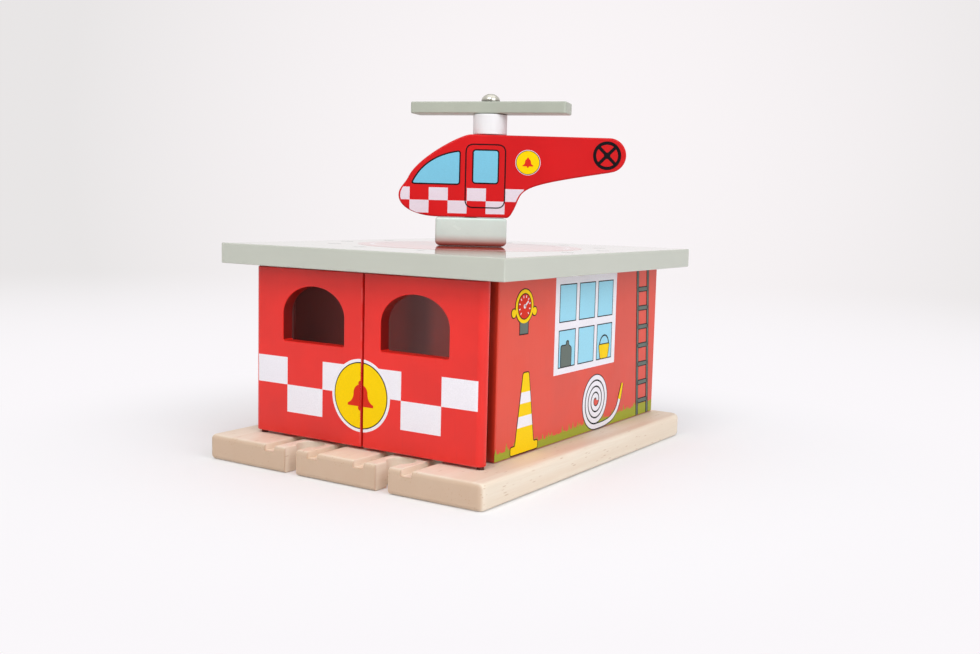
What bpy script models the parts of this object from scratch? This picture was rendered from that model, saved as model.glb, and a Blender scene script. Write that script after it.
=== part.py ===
"""A wooden toy fire station, in metres, with +Z up and its doors facing -Y.

A track board carries a shed with two swing doors, a flat roof and an open doorway behind each
lane.  A toy helicopter with a turning rotor stands loose on the roof.  The origin is the middle
of the board's underside.
"""

import math

import bmesh
import bpy

# Fits that every piece shares
SEAT_GAP = 0.0003
CUT_OVERRUN = 0.002
WELD_DISTANCE = 0.000001
SHARP_ANGLE = math.radians(40)
ROUND_STEPS = 32
HIDDEN_STEPS = 16
ARC_STEPS = 8

# Track board
BOARD_WIDTH = 0.157
BOARD_DEPTH = 0.203
BOARD_THICKNESS = 0.012
BOARD_FRONT_CORNER = 0.003
BOARD_REAR_CORNER = 0.007
BOARD_EDGE_ROUND = 0.0022

# The two lanes routed into the board, and the sockets that take a track's peg
LANE_SPACING = 0.0528
GROOVE_SPACING = 0.026
GROOVE_WIDTH = 0.006
GROOVE_DEPTH = 0.003
GROOVE_CHAMFER = 0.0006
GROOVE_END_MARGIN = 0.012
SOCKET_NECK_WIDTH = 0.0074
SOCKET_HEAD_RADIUS = 0.0067
SOCKET_HEAD_SETBACK = 0.014
SOCKET_CHAMFER = 0.0005

# Shed walls
WALL_SIDE_MARGIN = 0.0158
WALL_THICKNESS = 0.008
WALL_FRONT_SETBACK = 0.0325
WALL_REAR_MARGIN = 0.006
EAVES_HEIGHT = 0.0818
WALL_EDGE_ROUND = 0.0007
REAR_POST_WIDTH = 0.0138
REAR_LEG_WIDTH = 0.0085
REAR_LINTEL_HEIGHT = 0.012

# Roof board
ROOF_SIDE_OVERHANG = 0.0018
ROOF_THICKNESS = 0.0098
ROOF_FRONT_SETBACK = 0.0095
ROOF_REAR_OVERHANG = 0.0019
ROOF_EDGE_ROUND = 0.0006

# Swing doors
DOOR_SIDE_OVERHANG = 0.0037
DOOR_THICKNESS = 0.0068
DOOR_FRONT_SETBACK = 0.0184
DOOR_SEAM = 0.0008
DOOR_BOTTOM_GAP = 0.0013
DOOR_TOP_GAP = 0.0009
DOOR_EDGE_ROUND = 0.0005
WINDOW_WIDTH = 0.038
WINDOW_HEIGHT = 0.0267
WINDOW_ARCH_RISE = 0.0139
WINDOW_TOP_MARGIN = 0.0079
WINDOW_SHIFT_TO_SEAM = 0.0041
WINDOW_CORNER = 0.001
WINDOW_CHAMFER = 0.0004
PIN_RADIUS = 0.0016
PIN_DEPTH_IN_DOOR = 0.012
PIN_DEPTH_IN_BOARDS = 0.006

# Hidden fixings of the walls
SCREW_SHANK_RADIUS = 0.0015
SCREW_HEAD_RADIUS = 0.003
SCREW_HEAD_DEPTH = 0.002
SCREW_LENGTH = 0.026
SCREW_TIP = 0.003
SCREW_RECESS = 0.0005
FIXING_MARGIN = 0.022
DOWEL_RADIUS = 0.0025
DOWEL_LENGTH = 0.014
DOWEL_DEPTH_IN_ROOF = 0.005

# Helicopter board, turned on the roof towards the front left
HELICOPTER_TURN = math.radians(35)
HELICOPTER_THICKNESS = 0.018
HELICOPTER_HEIGHT = 0.0412
HELICOPTER_EDGE_ROUND = 0.0009
NOSE_REACH = 0.0367
NOSE_HEIGHT = 0.0105
NOSE_SLOPE_REACH = 0.0319
NOSE_SLOPE_HEIGHT = 0.0195
NOSE_SLOPE_HEADING = 66
CABIN_TOP_REACH = 0.0010
BELLY_FRONT_REACH = 0.0170
BELLY_REAR_REACH = 0.0184
BELLY_REAR_CORNER = 0.0014
BOOM_END_HEADING = -122
TAIL_RADIUS = 0.0086
TAIL_REACH = 0.0687
TAIL_TURN_END = -80.5
NOSE_BELLY_PULL_SHARES = (0.45, 0.30)
NOSE_FRONT_PULL_SHARES = (0.35, 0.35)
NOSE_ROOF_PULL_SHARES = (0.28, 0.13)
BOOM_PULL_SHARES = (1.00, 0.28)

# Block that the helicopter is glued to
STAND_WIDTH = 0.0358
STAND_DEPTH = 0.022
STAND_HEIGHT = 0.0147
STAND_EDGE_ROUND = 0.0012
STAND_DOWEL_RADIUS = 0.003
STAND_DOWEL_LENGTH = 0.016

# Mast, rotor and the screw that the rotor turns on
MAST_REACH = 0.0087
MAST_RADIUS = 0.0086
MAST_HEIGHT = 0.0107
MAST_EDGE_ROUND = 0.0005
ROTOR_LENGTH = 0.0813
ROTOR_WIDTH = 0.014
ROTOR_THICKNESS = 0.0059
ROTOR_TURN = math.radians(-18.7)
ROTOR_CORNER = 0.0016
ROTOR_EDGE_ROUND = 0.0007
AXLE_RADIUS = 0.0016
AXLE_DEPTH_IN_BODY = 0.012
AXLE_HEAD_RADIUS = 0.0047
AXLE_HEAD_HEIGHT = 0.0040
AXLE_HEAD_RIM = 0.0007

# Paint and wood, as red, green and blue with a roughness
BEECH = ((0.80, 0.62, 0.44), 0.55)
RED_PAINT = ((0.72, 0.035, 0.025), 0.35)
HELICOPTER_RED = ((0.70, 0.02, 0.025), 0.3)
GREY_PAINT = ((0.55, 0.58, 0.50), 0.3)
ROTOR_GREY = ((0.42, 0.46, 0.38), 0.4)
WHITE_PAINT = ((0.85, 0.85, 0.84), 0.35)
SCREW_STEEL = ((0.75, 0.76, 0.78), 0.22)

# Widths that follow the board, and places worked out from the sizes above
SHED_WIDTH = BOARD_WIDTH - 2 * WALL_SIDE_MARGIN
ROOF_WIDTH = BOARD_WIDTH + 2 * ROOF_SIDE_OVERHANG
DOORS_WIDTH = SHED_WIDTH + 2 * DOOR_SIDE_OVERHANG
BOARD_FRONT = -BOARD_DEPTH / 2
BOARD_REAR = BOARD_DEPTH / 2
WALL_FRONT = BOARD_FRONT + WALL_FRONT_SETBACK
WALL_REAR = BOARD_REAR - WALL_REAR_MARGIN
EAVES = BOARD_THICKNESS + EAVES_HEIGHT
ROOF_TOP = EAVES + ROOF_THICKNESS
ROOF_FRONT = BOARD_FRONT + ROOF_FRONT_SETBACK
ROOF_REAR = WALL_REAR + ROOF_REAR_OVERHANG
ROOF_MIDDLE = (ROOF_FRONT + ROOF_REAR) / 2
DOOR_BOTTOM = BOARD_THICKNESS + DOOR_BOTTOM_GAP
DOOR_TOP = EAVES - DOOR_TOP_GAP
DOOR_HALF_THICKNESS = DOOR_THICKNESS / 2
HINGE_ACROSS = DOORS_WIDTH / 2 - DOOR_HALF_THICKNESS
HINGE_LINE = BOARD_FRONT + DOOR_FRONT_SETBACK + DOOR_HALF_THICKNESS
WINDOW_FROM_SEAM = (DOORS_WIDTH + DOOR_SEAM) / 4 - WINDOW_SHIFT_TO_SEAM
WINDOW_TOP = DOOR_TOP - WINDOW_TOP_MARGIN
WINDOW_SILL = WINDOW_TOP - WINDOW_HEIGHT
WALL_MIDDLE_ACROSS = (SHED_WIDTH - WALL_THICKNESS) / 2
BODY_BOTTOM = STAND_HEIGHT
BODY_TOP = BODY_BOTTOM + HELICOPTER_HEIGHT
ROTOR_BOTTOM = BODY_TOP + MAST_HEIGHT
ROTOR_TOP = ROTOR_BOTTOM + ROTOR_THICKNESS
STAND_DOWEL_BOTTOM = STAND_HEIGHT - STAND_DOWEL_LENGTH / 2
STAND_DOWEL_TOP = STAND_HEIGHT + STAND_DOWEL_LENGTH / 2
STAND_DOWEL_HOLE = STAND_DOWEL_RADIUS + SEAT_GAP
AXLE_BOTTOM = BODY_TOP - AXLE_DEPTH_IN_BODY
AXLE_HOLE = AXLE_RADIUS + SEAT_GAP


def clear_scene():
    """Remove what the scene holds."""
    for thing in list(bpy.context.scene.objects):
        bpy.data.objects.remove(thing, do_unlink=True)


def make_material(name, paint, metallic=0.0):
    """A plain painted, wooden or steel surface."""
    colour, roughness = paint
    material = bpy.data.materials.new(name)
    material.use_nodes = True
    shader = material.node_tree.nodes["Principled BSDF"]
    shader.inputs["Base Color"].default_value = (*colour, 1.0)
    shader.inputs["Roughness"].default_value = roughness
    shader.inputs["Metallic"].default_value = metallic
    return material


def add_object(name, shape, parent=None):
    """Turn a bmesh into an object with its faces pointing out."""
    bmesh.ops.recalc_face_normals(shape, faces=shape.faces)
    mesh = bpy.data.meshes.new(name)
    shape.to_mesh(mesh)
    shape.free()
    thing = bpy.data.objects.new(name, mesh)
    thing.parent = parent
    bpy.context.scene.collection.objects.link(thing)
    return thing


def add_axis(name, place, turn=0.0, parent=None):
    """An empty that stands on a moving piece's axis."""
    axis = bpy.data.objects.new(name, None)
    axis.location = place
    axis.rotation_euler = (0, 0, turn)
    axis.parent = parent
    bpy.context.scene.collection.objects.link(axis)
    return axis


def arc(centre, radius, start, end, steps=ARC_STEPS):
    """Points of an arc between two angles in degrees, both ends included."""
    angles = [math.radians(start + (end - start) * step / steps) for step in range(steps + 1)]
    return [(centre[0] + radius * math.cos(a), centre[1] + radius * math.sin(a)) for a in angles]


def bend(start, start_heading, end, end_heading, pull_shares, steps=ARC_STEPS):
    """Points of a cubic curve that leaves and arrives at two headings, in degrees.

    The shares say how far the curve is pulled along each heading, as parts of its chord.
    """
    chord = math.dist(start, end)
    leaving = math.radians(start_heading)
    arriving = math.radians(end_heading)
    first_pull, last_pull = (chord * share for share in pull_shares)
    first = (start[0] + first_pull * math.cos(leaving), start[1] + first_pull * math.sin(leaving))
    last = (end[0] - last_pull * math.cos(arriving), end[1] - last_pull * math.sin(arriving))
    points = []
    for step in range(steps + 1):
        far = step / steps
        near = 1 - far
        weights = (near ** 3, 3 * near ** 2 * far, 3 * near * far ** 2, far ** 3)
        corners = (start, first, last, end)
        across = sum(weight * corner[0] for weight, corner in zip(weights, corners))
        along = sum(weight * corner[1] for weight, corner in zip(weights, corners))
        points.append((across, along))
    return points


def without_repeats(points):
    """Drop points that fall on the one before them, also round the end."""
    kept = []
    for point in points:
        if not kept or math.dist(point, kept[-1]) > WELD_DISTANCE:
            kept.append(point)
    if math.dist(kept[0], kept[-1]) <= WELD_DISTANCE:
        kept.pop()
    return kept


def loft(name, outlines, levels, upright="Z", parent=None):
    """A closed solid through outlines with as many points each, at levels along one axis."""
    places = {
        "Z": lambda point, level: (point[0], point[1], level),
        "Y": lambda point, level: (point[0], level, point[1]),
    }
    place = places[upright]
    shape = bmesh.new()
    rings = []
    for outline, level in zip(outlines, levels):
        rings.append([shape.verts.new(place(point, level)) for point in outline])
    for lower, upper in zip(rings, rings[1:]):
        for index in range(len(lower)):
            after = (index + 1) % len(lower)
            shape.faces.new((lower[index], lower[after], upper[after], upper[index]))
    shape.faces.new(rings[0])
    shape.faces.new(rings[-1])
    return add_object(name, shape, parent)


def prism(name, outline, low, high, upright="Z", parent=None):
    """A flat outline drawn out from one level to another."""
    points = without_repeats(outline)
    return loft(name, (points, points), (low, high), upright, parent)


def turned(name, profile, parent=None, place=(0, 0, 0), steps=HIDDEN_STEPS):
    """A solid turned about a vertical axis, from a profile of radius and height."""
    shape = bmesh.new()
    points = [shape.verts.new((radius, 0, height)) for radius, height in profile]
    edges = [shape.edges.new(pair) for pair in zip(points, points[1:])]
    bmesh.ops.spin(
        shape,
        geom=points + edges,
        cent=(0, 0, 0),
        axis=(0, 0, 1),
        angle=math.tau,
        steps=steps,
    )
    bmesh.ops.remove_doubles(shape, verts=shape.verts, dist=WELD_DISTANCE)
    thing = add_object(name, shape, parent)
    thing.location = place
    return thing


def rod_profile(radius, low, high, edge=0.0):
    """Profile of a plain rod, with its rims chamfered where an edge is given."""
    profile = [(0, low), (radius - edge, low)]
    if edge:
        profile += [(radius, low + edge), (radius, high - edge)]
    else:
        profile.append((radius, high))
    if edge:
        profile.append((radius - edge, high))
    profile.append((0, high))
    return without_repeats(profile)


def rectangle(width, low, high, corner=0.0):
    """A rectangle centred across, with rounded corners where a radius is given."""
    half = width / 2
    if not corner:
        return [(-half, low), (half, low), (half, high), (-half, high)]
    across = half - corner
    return (
        arc((-across, low + corner), corner, 180, 270)
        + arc((across, low + corner), corner, 270, 360)
        + arc((across, high - corner), corner, 0, 90)
        + arc((-across, high - corner), corner, 90, 180)
    )


def ease_edges(thing, width, segments=2):
    """Round the sharp edges of a solid."""
    bevel = thing.modifiers.new("eased_edges", "BEVEL")
    bevel.limit_method = "ANGLE"
    bevel.angle_limit = SHARP_ANGLE
    bevel.width = width
    bevel.segments = segments


def cut(thing, cutter):
    """Take one solid out of another."""
    cutter.hide_render = True
    cutter.display_type = "WIRE"
    boolean = thing.modifiers.new(cutter.name, "BOOLEAN")
    boolean.operation = "DIFFERENCE"
    boolean.solver = "EXACT"
    boolean.object = cutter


def bore(thing, name, place, radius, low, high):
    """Drill a vertical hole between two heights."""
    profile = rod_profile(radius, low, high)
    cut(thing, turned(name, profile, thing.parent, (place[0], place[1], 0)))


def finish(thing, material):
    """Give a piece its material, with its round faces shaded smooth."""
    thing.data.materials.append(material)
    thing.data.shade_smooth()
    thing.data.set_sharp_from_angle(angle=SHARP_ANGLE)
    return thing


def lane_places():
    """The middle of each lane across the board."""
    return {"left": -LANE_SPACING / 2, "right": LANE_SPACING / 2}


def groove_outline(across, widening):
    """Plan of a groove that runs in from the board's front to a round end."""
    radius = GROOVE_WIDTH / 2 + widening
    front = BOARD_FRONT - CUT_OVERRUN
    end = WALL_REAR - WALL_THICKNESS - GROOVE_END_MARGIN
    return [(across - radius, front), (across + radius, front)] + arc((across, end), radius, 0, 180)


def cut_grooves(board):
    """Rout two grooves for each lane, with chamfered rims."""
    widenings = (0, 0, GROOVE_CHAMFER + CUT_OVERRUN)
    levels = (
        BOARD_THICKNESS - GROOVE_DEPTH,
        BOARD_THICKNESS - GROOVE_CHAMFER,
        BOARD_THICKNESS + CUT_OVERRUN,
    )
    for lane, middle in lane_places().items():
        for rail, way in (("outer", -1), ("inner", 1)):
            across = middle + way * GROOVE_SPACING / 2
            outlines = [groove_outline(across, widening) for widening in widenings]
            cut(board, loft(f"{lane}_{rail}_groove_cutter", outlines, levels))


def socket_outline(across, widening):
    """Plan of a keyhole socket: a straight neck from the front into a round head."""
    neck = SOCKET_NECK_WIDTH / 2 + widening
    head = SOCKET_HEAD_RADIUS + widening
    middle = BOARD_FRONT + SOCKET_HEAD_SETBACK
    front = BOARD_FRONT - CUT_OVERRUN
    turn = math.degrees(math.asin(neck / head))
    neck_ends = [(across - neck, front), (across + neck, front)]
    return neck_ends + arc((across, middle), head, turn - 90, 270 - turn, 3 * ARC_STEPS)


def cut_sockets(board):
    """Cut a track socket through the board at the front of each lane."""
    flare = SOCKET_CHAMFER + CUT_OVERRUN
    widenings = (flare, 0, 0, flare)
    levels = (
        -CUT_OVERRUN,
        SOCKET_CHAMFER,
        BOARD_THICKNESS - SOCKET_CHAMFER,
        BOARD_THICKNESS + CUT_OVERRUN,
    )
    for lane, middle in lane_places().items():
        outlines = [socket_outline(middle, widening) for widening in widenings]
        cut(board, loft(f"{lane}_socket_cutter", outlines, levels))


def screw_profile(growth):
    """Profile of a countersunk wood screw, head down, or of its hole when grown."""
    tip = SCREW_RECESS + SCREW_LENGTH
    shank = SCREW_SHANK_RADIUS + growth
    head = SCREW_HEAD_RADIUS + growth
    base = -CUT_OVERRUN if growth else SCREW_RECESS
    return [
        (0, base),
        (head, base),
        (head, SCREW_RECESS + growth),
        (shank, SCREW_RECESS + SCREW_HEAD_DEPTH + growth),
        (shank, tip - SCREW_TIP + growth),
        (0, tip + growth),
    ]


def screw_places():
    """Where the screws come up through the board, by the wall that each one holds."""
    front = WALL_FRONT + FIXING_MARGIN
    rear = WALL_REAR - FIXING_MARGIN
    inner = SHED_WIDTH / 2 - WALL_THICKNESS - REAR_LEG_WIDTH / 2
    back_line = WALL_REAR - WALL_THICKNESS / 2
    return {
        "left_wall": [(-WALL_MIDDLE_ACROSS, front), (-WALL_MIDDLE_ACROSS, rear)],
        "right_wall": [(WALL_MIDDLE_ACROSS, front), (WALL_MIDDLE_ACROSS, rear)],
        "back_wall": [(-inner, back_line), (inner, back_line)],
    }


def dowel_places():
    """Where the dowels go up from each side wall into the roof."""
    front = WALL_FRONT + FIXING_MARGIN
    rear = WALL_REAR - FIXING_MARGIN
    return {
        "left_wall": [(-WALL_MIDDLE_ACROSS, front), (-WALL_MIDDLE_ACROSS, rear)],
        "right_wall": [(WALL_MIDDLE_ACROSS, front), (WALL_MIDDLE_ACROSS, rear)],
    }


def build_board(material):
    """The track board, with its lanes, sockets, hinge holes and screw holes."""
    half = BOARD_WIDTH / 2
    front_across = half - BOARD_FRONT_CORNER
    rear_across = half - BOARD_REAR_CORNER
    front_middle = BOARD_FRONT + BOARD_FRONT_CORNER
    rear_middle = BOARD_REAR - BOARD_REAR_CORNER
    outline = (
        arc((-front_across, front_middle), BOARD_FRONT_CORNER, 180, 270)
        + arc((front_across, front_middle), BOARD_FRONT_CORNER, 270, 360)
        + arc((rear_across, rear_middle), BOARD_REAR_CORNER, 0, 90)
        + arc((-rear_across, rear_middle), BOARD_REAR_CORNER, 90, 180)
    )
    board = prism("base_board", outline, 0, BOARD_THICKNESS)
    ease_edges(board, BOARD_EDGE_ROUND, segments=3)
    cut_grooves(board)
    cut_sockets(board)
    floor = BOARD_THICKNESS - PIN_DEPTH_IN_BOARDS
    for side, way in (("left", -1), ("right", 1)):
        place = (way * HINGE_ACROSS, HINGE_LINE)
        top = BOARD_THICKNESS + CUT_OVERRUN
        bore(board, f"{side}_board_pin_cutter", place, PIN_RADIUS + SEAT_GAP, floor - SEAT_GAP, top)
    for wall, places in screw_places().items():
        for number, (across, along) in enumerate(places, start=1):
            name = f"{wall}_board_screw_cutter_{number}"
            cut(board, turned(name, screw_profile(SEAT_GAP), None, (across, along, 0)))
    return finish(board, material)


def bore_fixings(wall, name):
    """Drill a wall for its screws and for its roof dowels."""
    bottom = BOARD_THICKNESS - CUT_OVERRUN
    tip = SCREW_RECESS + SCREW_LENGTH + SEAT_GAP
    for number, place in enumerate(screw_places()[name], start=1):
        radius = SCREW_SHANK_RADIUS + SEAT_GAP
        bore(wall, f"{name}_screw_cutter_{number}", place, radius, bottom, tip)
    floor = EAVES + DOWEL_DEPTH_IN_ROOF - DOWEL_LENGTH - SEAT_GAP
    for number, place in enumerate(dowel_places().get(name, []), start=1):
        radius = DOWEL_RADIUS + SEAT_GAP
        bore(wall, f"{name}_dowel_cutter_{number}", place, radius, floor, EAVES + CUT_OVERRUN)


def build_side_wall(side, way, material):
    """One side wall of the shed, standing on the board."""
    name = f"{side}_wall"
    inner = way * (SHED_WIDTH / 2 - WALL_THICKNESS)
    outer = way * SHED_WIDTH / 2
    outline = [(inner, WALL_FRONT), (outer, WALL_FRONT), (outer, WALL_REAR), (inner, WALL_REAR)]
    wall = prism(name, outline, BOARD_THICKNESS + SEAT_GAP, EAVES - SEAT_GAP)
    ease_edges(wall, WALL_EDGE_ROUND)
    bore_fixings(wall, name)
    return finish(wall, material)


def build_back_wall(material):
    """The back wall between the side walls, with a doorway over each lane."""
    half = SHED_WIDTH / 2 - WALL_THICKNESS - SEAT_GAP
    leg = SHED_WIDTH / 2 - WALL_THICKNESS - REAR_LEG_WIDTH
    post = REAR_POST_WIDTH / 2
    foot = BOARD_THICKNESS + SEAT_GAP
    top = EAVES - SEAT_GAP
    lintel = top - REAR_LINTEL_HEIGHT
    right_doorway = [(post, foot), (post, lintel), (leg, lintel), (leg, foot)]
    left_doorway = [(-across, height) for across, height in reversed(right_doorway)]
    sides = [(half, foot), (half, top), (-half, top), (-half, foot)]
    outline = left_doorway + right_doorway + sides
    wall = prism("back_wall", outline, WALL_REAR - WALL_THICKNESS, WALL_REAR, "Y")
    ease_edges(wall, WALL_EDGE_ROUND)
    bore_fixings(wall, "back_wall")
    return finish(wall, material)


def build_roof(material):
    """The roof board, with blind holes for the dowels and the doors' upper pins."""
    outline = rectangle(ROOF_WIDTH, ROOF_FRONT, ROOF_REAR)
    roof = prism("roof_board", outline, EAVES, ROOF_TOP)
    ease_edges(roof, ROOF_EDGE_ROUND, segments=3)
    bottom = EAVES - CUT_OVERRUN
    for wall, places in dowel_places().items():
        for number, place in enumerate(places, start=1):
            name = f"{wall}_roof_dowel_cutter_{number}"
            top = EAVES + DOWEL_DEPTH_IN_ROOF + SEAT_GAP
            bore(roof, name, place, DOWEL_RADIUS + SEAT_GAP, bottom, top)
    for side, way in (("left", -1), ("right", 1)):
        place = (way * HINGE_ACROSS, HINGE_LINE)
        top = EAVES + PIN_DEPTH_IN_BOARDS + SEAT_GAP
        bore(roof, f"{side}_roof_pin_cutter", place, PIN_RADIUS + SEAT_GAP, bottom, top)
    return finish(roof, material)


def build_fixings(steel, wood):
    """The screws up through the board and the dowels up into the roof."""
    for wall, places in screw_places().items():
        for number, (across, along) in enumerate(places, start=1):
            name = f"{wall}_screw_{number}"
            finish(turned(name, screw_profile(0), None, (across, along, 0)), steel)
    top = EAVES + DOWEL_DEPTH_IN_ROOF
    for wall, places in dowel_places().items():
        for number, (across, along) in enumerate(places, start=1):
            name = f"{wall}_dowel_{number}"
            profile = rod_profile(DOWEL_RADIUS, top - DOWEL_LENGTH, top, SEAT_GAP)
            finish(turned(name, profile, None, (across, along, 0)), wood)


def door_outline(way):
    """Plan of a door about its hinge axis: a half round there, square at the seam."""
    reach = HINGE_ACROSS - DOOR_SEAM / 2
    half_round = arc((0, 0), DOOR_HALF_THICKNESS, -90, 90, 2 * ARC_STEPS)
    outline = half_round + [(-reach, DOOR_HALF_THICKNESS), (-reach, -DOOR_HALF_THICKNESS)]
    return [(way * across, along) for across, along in outline]


def window_outline(across, widening):
    """Front view of a window: a flattened arch over straight sides and a sill."""
    half = WINDOW_WIDTH / 2 + widening
    rise = WINDOW_ARCH_RISE + widening
    sill = WINDOW_SILL - widening
    spring = WINDOW_TOP - WINDOW_ARCH_RISE
    corner = WINDOW_CORNER + widening
    half_round = arc((0, 0), 1, 0, 180, 3 * ARC_STEPS)
    arch = [(across + half * sideways, spring + rise * upward) for sideways, upward in half_round]
    return (
        arc((across - half + corner, sill + corner), corner, 180, 270, 3)
        + arc((across + half - corner, sill + corner), corner, 270, 360, 3)
        + arch
    )


def cut_window(door, side, way):
    """Cut the window through a door, with a chamfer round both of its rims."""
    across = way * (WINDOW_FROM_SEAM - HINGE_ACROSS)
    flare = WINDOW_CHAMFER + CUT_OVERRUN
    outlines = [window_outline(across, widening) for widening in (flare, 0, 0, flare)]
    face = DOOR_HALF_THICKNESS
    levels = (
        -face - CUT_OVERRUN,
        WINDOW_CHAMFER - face,
        face - WINDOW_CHAMFER,
        face + CUT_OVERRUN,
    )
    cut(door, loft(f"{side}_window_cutter", outlines, levels, "Y", door.parent))


def build_door(side, way, paint, wood):
    """A door with its window, and the two pins that it turns on."""
    hinge = add_axis(f"{side}_door_hinge", (way * HINGE_ACROSS, HINGE_LINE, 0))
    door = prism(f"{side}_door", door_outline(way), DOOR_BOTTOM, DOOR_TOP, parent=hinge)
    ease_edges(door, DOOR_EDGE_ROUND)
    cut_window(door, side, way)
    lower = (BOARD_THICKNESS - PIN_DEPTH_IN_BOARDS, DOOR_BOTTOM + PIN_DEPTH_IN_DOOR)
    upper = (DOOR_TOP - PIN_DEPTH_IN_DOOR, EAVES + PIN_DEPTH_IN_BOARDS)
    for end, (low, high) in (("lower", lower), ("upper", upper)):
        hole_low, hole_high = low - SEAT_GAP, high + SEAT_GAP
        bore(door, f"{side}_door_{end}_cutter", (0, 0), PIN_RADIUS + SEAT_GAP, hole_low, hole_high)
        pin = turned(f"{side}_door_{end}_pin", rod_profile(PIN_RADIUS, low, high, SEAT_GAP), hinge)
        finish(pin, wood)
    return finish(door, paint)


def helicopter_outline():
    """Side view of the helicopter board, nose to the left, from the belly round to the belly."""
    low, top = BODY_BOTTOM, BODY_TOP
    nose_tip = (-NOSE_REACH, low + NOSE_HEIGHT)
    nose_slope = (-NOSE_SLOPE_REACH, low + NOSE_SLOPE_HEIGHT)
    cabin_top = (-CABIN_TOP_REACH, top)
    belly_front = (-BELLY_FRONT_REACH, low)
    belly_rear = (BELLY_REAR_REACH, low)
    rear_rise = (BELLY_REAR_REACH + BELLY_REAR_CORNER, low + BELLY_REAR_CORNER)
    nose_belly = bend(belly_front, 180, nose_tip, 90, NOSE_BELLY_PULL_SHARES)
    nose_front = bend(
        nose_tip, 90, nose_slope, NOSE_SLOPE_HEADING, NOSE_FRONT_PULL_SHARES, ARC_STEPS // 2
    )
    nose_roof = bend(nose_slope, NOSE_SLOPE_HEADING, cabin_top, 0, NOSE_ROOF_PULL_SHARES)
    tail = arc((TAIL_REACH, top - TAIL_RADIUS), TAIL_RADIUS, 90, TAIL_TURN_END, 2 * ARC_STEPS)
    boom_heading = TAIL_TURN_END - 90
    boom = bend(
        tail[-1], boom_heading, rear_rise, BOOM_END_HEADING, BOOM_PULL_SHARES, 2 * ARC_STEPS
    )
    return nose_belly + nose_front + nose_roof + tail + boom + [belly_rear]


def build_helicopter_body(place, paint):
    """The helicopter board, bored from below for its dowel and from above for the rotor's screw."""
    half = HELICOPTER_THICKNESS / 2
    body = prism("helicopter_body", helicopter_outline(), -half, half, "Y", place)
    ease_edges(body, HELICOPTER_EDGE_ROUND)
    below = BODY_BOTTOM - CUT_OVERRUN
    above = BODY_TOP + CUT_OVERRUN
    bore(body, "body_dowel_cutter", (0, 0), STAND_DOWEL_HOLE, below, STAND_DOWEL_TOP + SEAT_GAP)
    bore(body, "body_axle_cutter", (MAST_REACH, 0), AXLE_HOLE, AXLE_BOTTOM - SEAT_GAP, above)
    return finish(body, paint)


def build_stand(place, paint, wood):
    """The block that stands on the roof, and the dowel that joins it to the helicopter."""
    outline = rectangle(STAND_WIDTH, -STAND_DEPTH / 2, STAND_DEPTH / 2)
    stand = prism("stand_block", outline, SEAT_GAP, STAND_HEIGHT - SEAT_GAP, parent=place)
    ease_edges(stand, STAND_EDGE_ROUND)
    floor = STAND_DOWEL_BOTTOM - SEAT_GAP
    above = STAND_HEIGHT + CUT_OVERRUN
    bore(stand, "stand_dowel_cutter", (0, 0), STAND_DOWEL_HOLE, floor, above)
    finish(stand, paint)
    profile = rod_profile(STAND_DOWEL_RADIUS, STAND_DOWEL_BOTTOM, STAND_DOWEL_TOP, SEAT_GAP)
    finish(turned("stand_dowel", profile, place), wood)


def build_mast(place, paint):
    """The short round mast between the helicopter and its rotor."""
    low = BODY_TOP + SEAT_GAP
    high = ROTOR_BOTTOM - SEAT_GAP
    profile = rod_profile(MAST_RADIUS, low, high, MAST_EDGE_ROUND)
    mast = turned("rotor_mast", profile, place, (MAST_REACH, 0, 0), ROUND_STEPS)
    bottom, top = BODY_TOP - CUT_OVERRUN, ROTOR_BOTTOM + CUT_OVERRUN
    bore(mast, "mast_axle_cutter", (MAST_REACH, 0), AXLE_HOLE, bottom, top)
    return finish(mast, paint)


def build_rotor_screw(place, steel):
    """The domed screw that the rotor turns on, down through the mast into the helicopter."""
    head_bottom = ROTOR_TOP + SEAT_GAP
    head_top = head_bottom + AXLE_HEAD_HEIGHT
    rim = head_bottom + AXLE_HEAD_RIM
    flattening = (head_top - rim) / AXLE_HEAD_RADIUS
    quarter = arc((0, 0), AXLE_HEAD_RADIUS, 0, 90)[:-1]
    dome = [(across, rim + rise * flattening) for across, rise in quarter]
    shank = [(0, AXLE_BOTTOM), (AXLE_RADIUS, AXLE_BOTTOM), (AXLE_RADIUS, head_bottom)]
    profile = shank + [(AXLE_HEAD_RADIUS, head_bottom)] + dome + [(0, head_top)]
    screw = turned("rotor_screw", profile, place, (MAST_REACH, 0, 0), ROUND_STEPS)
    return finish(screw, steel)


def build_rotor(place, paint):
    """The rotor bar, centred on its screw."""
    spin = add_axis("rotor_axis", (MAST_REACH, 0, 0), ROTOR_TURN, parent=place)
    outline = rectangle(ROTOR_LENGTH, -ROTOR_WIDTH / 2, ROTOR_WIDTH / 2, ROTOR_CORNER)
    rotor = prism("rotor_blade", outline, ROTOR_BOTTOM, ROTOR_TOP, parent=spin)
    ease_edges(rotor, ROTOR_EDGE_ROUND)
    bottom, top = ROTOR_BOTTOM - CUT_OVERRUN, ROTOR_TOP + CUT_OVERRUN
    bore(rotor, "rotor_axle_cutter", (0, 0), AXLE_HOLE, bottom, top)
    return finish(rotor, paint)


def build_helicopter(steel, wood):
    """The helicopter on its stand, turned on the middle of the roof."""
    place = add_axis("helicopter_place", (0, ROOF_MIDDLE, ROOF_TOP), HELICOPTER_TURN)
    build_stand(place, make_material("stand_grey", GREY_PAINT), wood)
    build_helicopter_body(place, make_material("helicopter_red", HELICOPTER_RED))
    build_mast(place, make_material("mast_white", WHITE_PAINT))
    build_rotor_screw(place, steel)
    build_rotor(place, make_material("rotor_grey", ROTOR_GREY))


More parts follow.
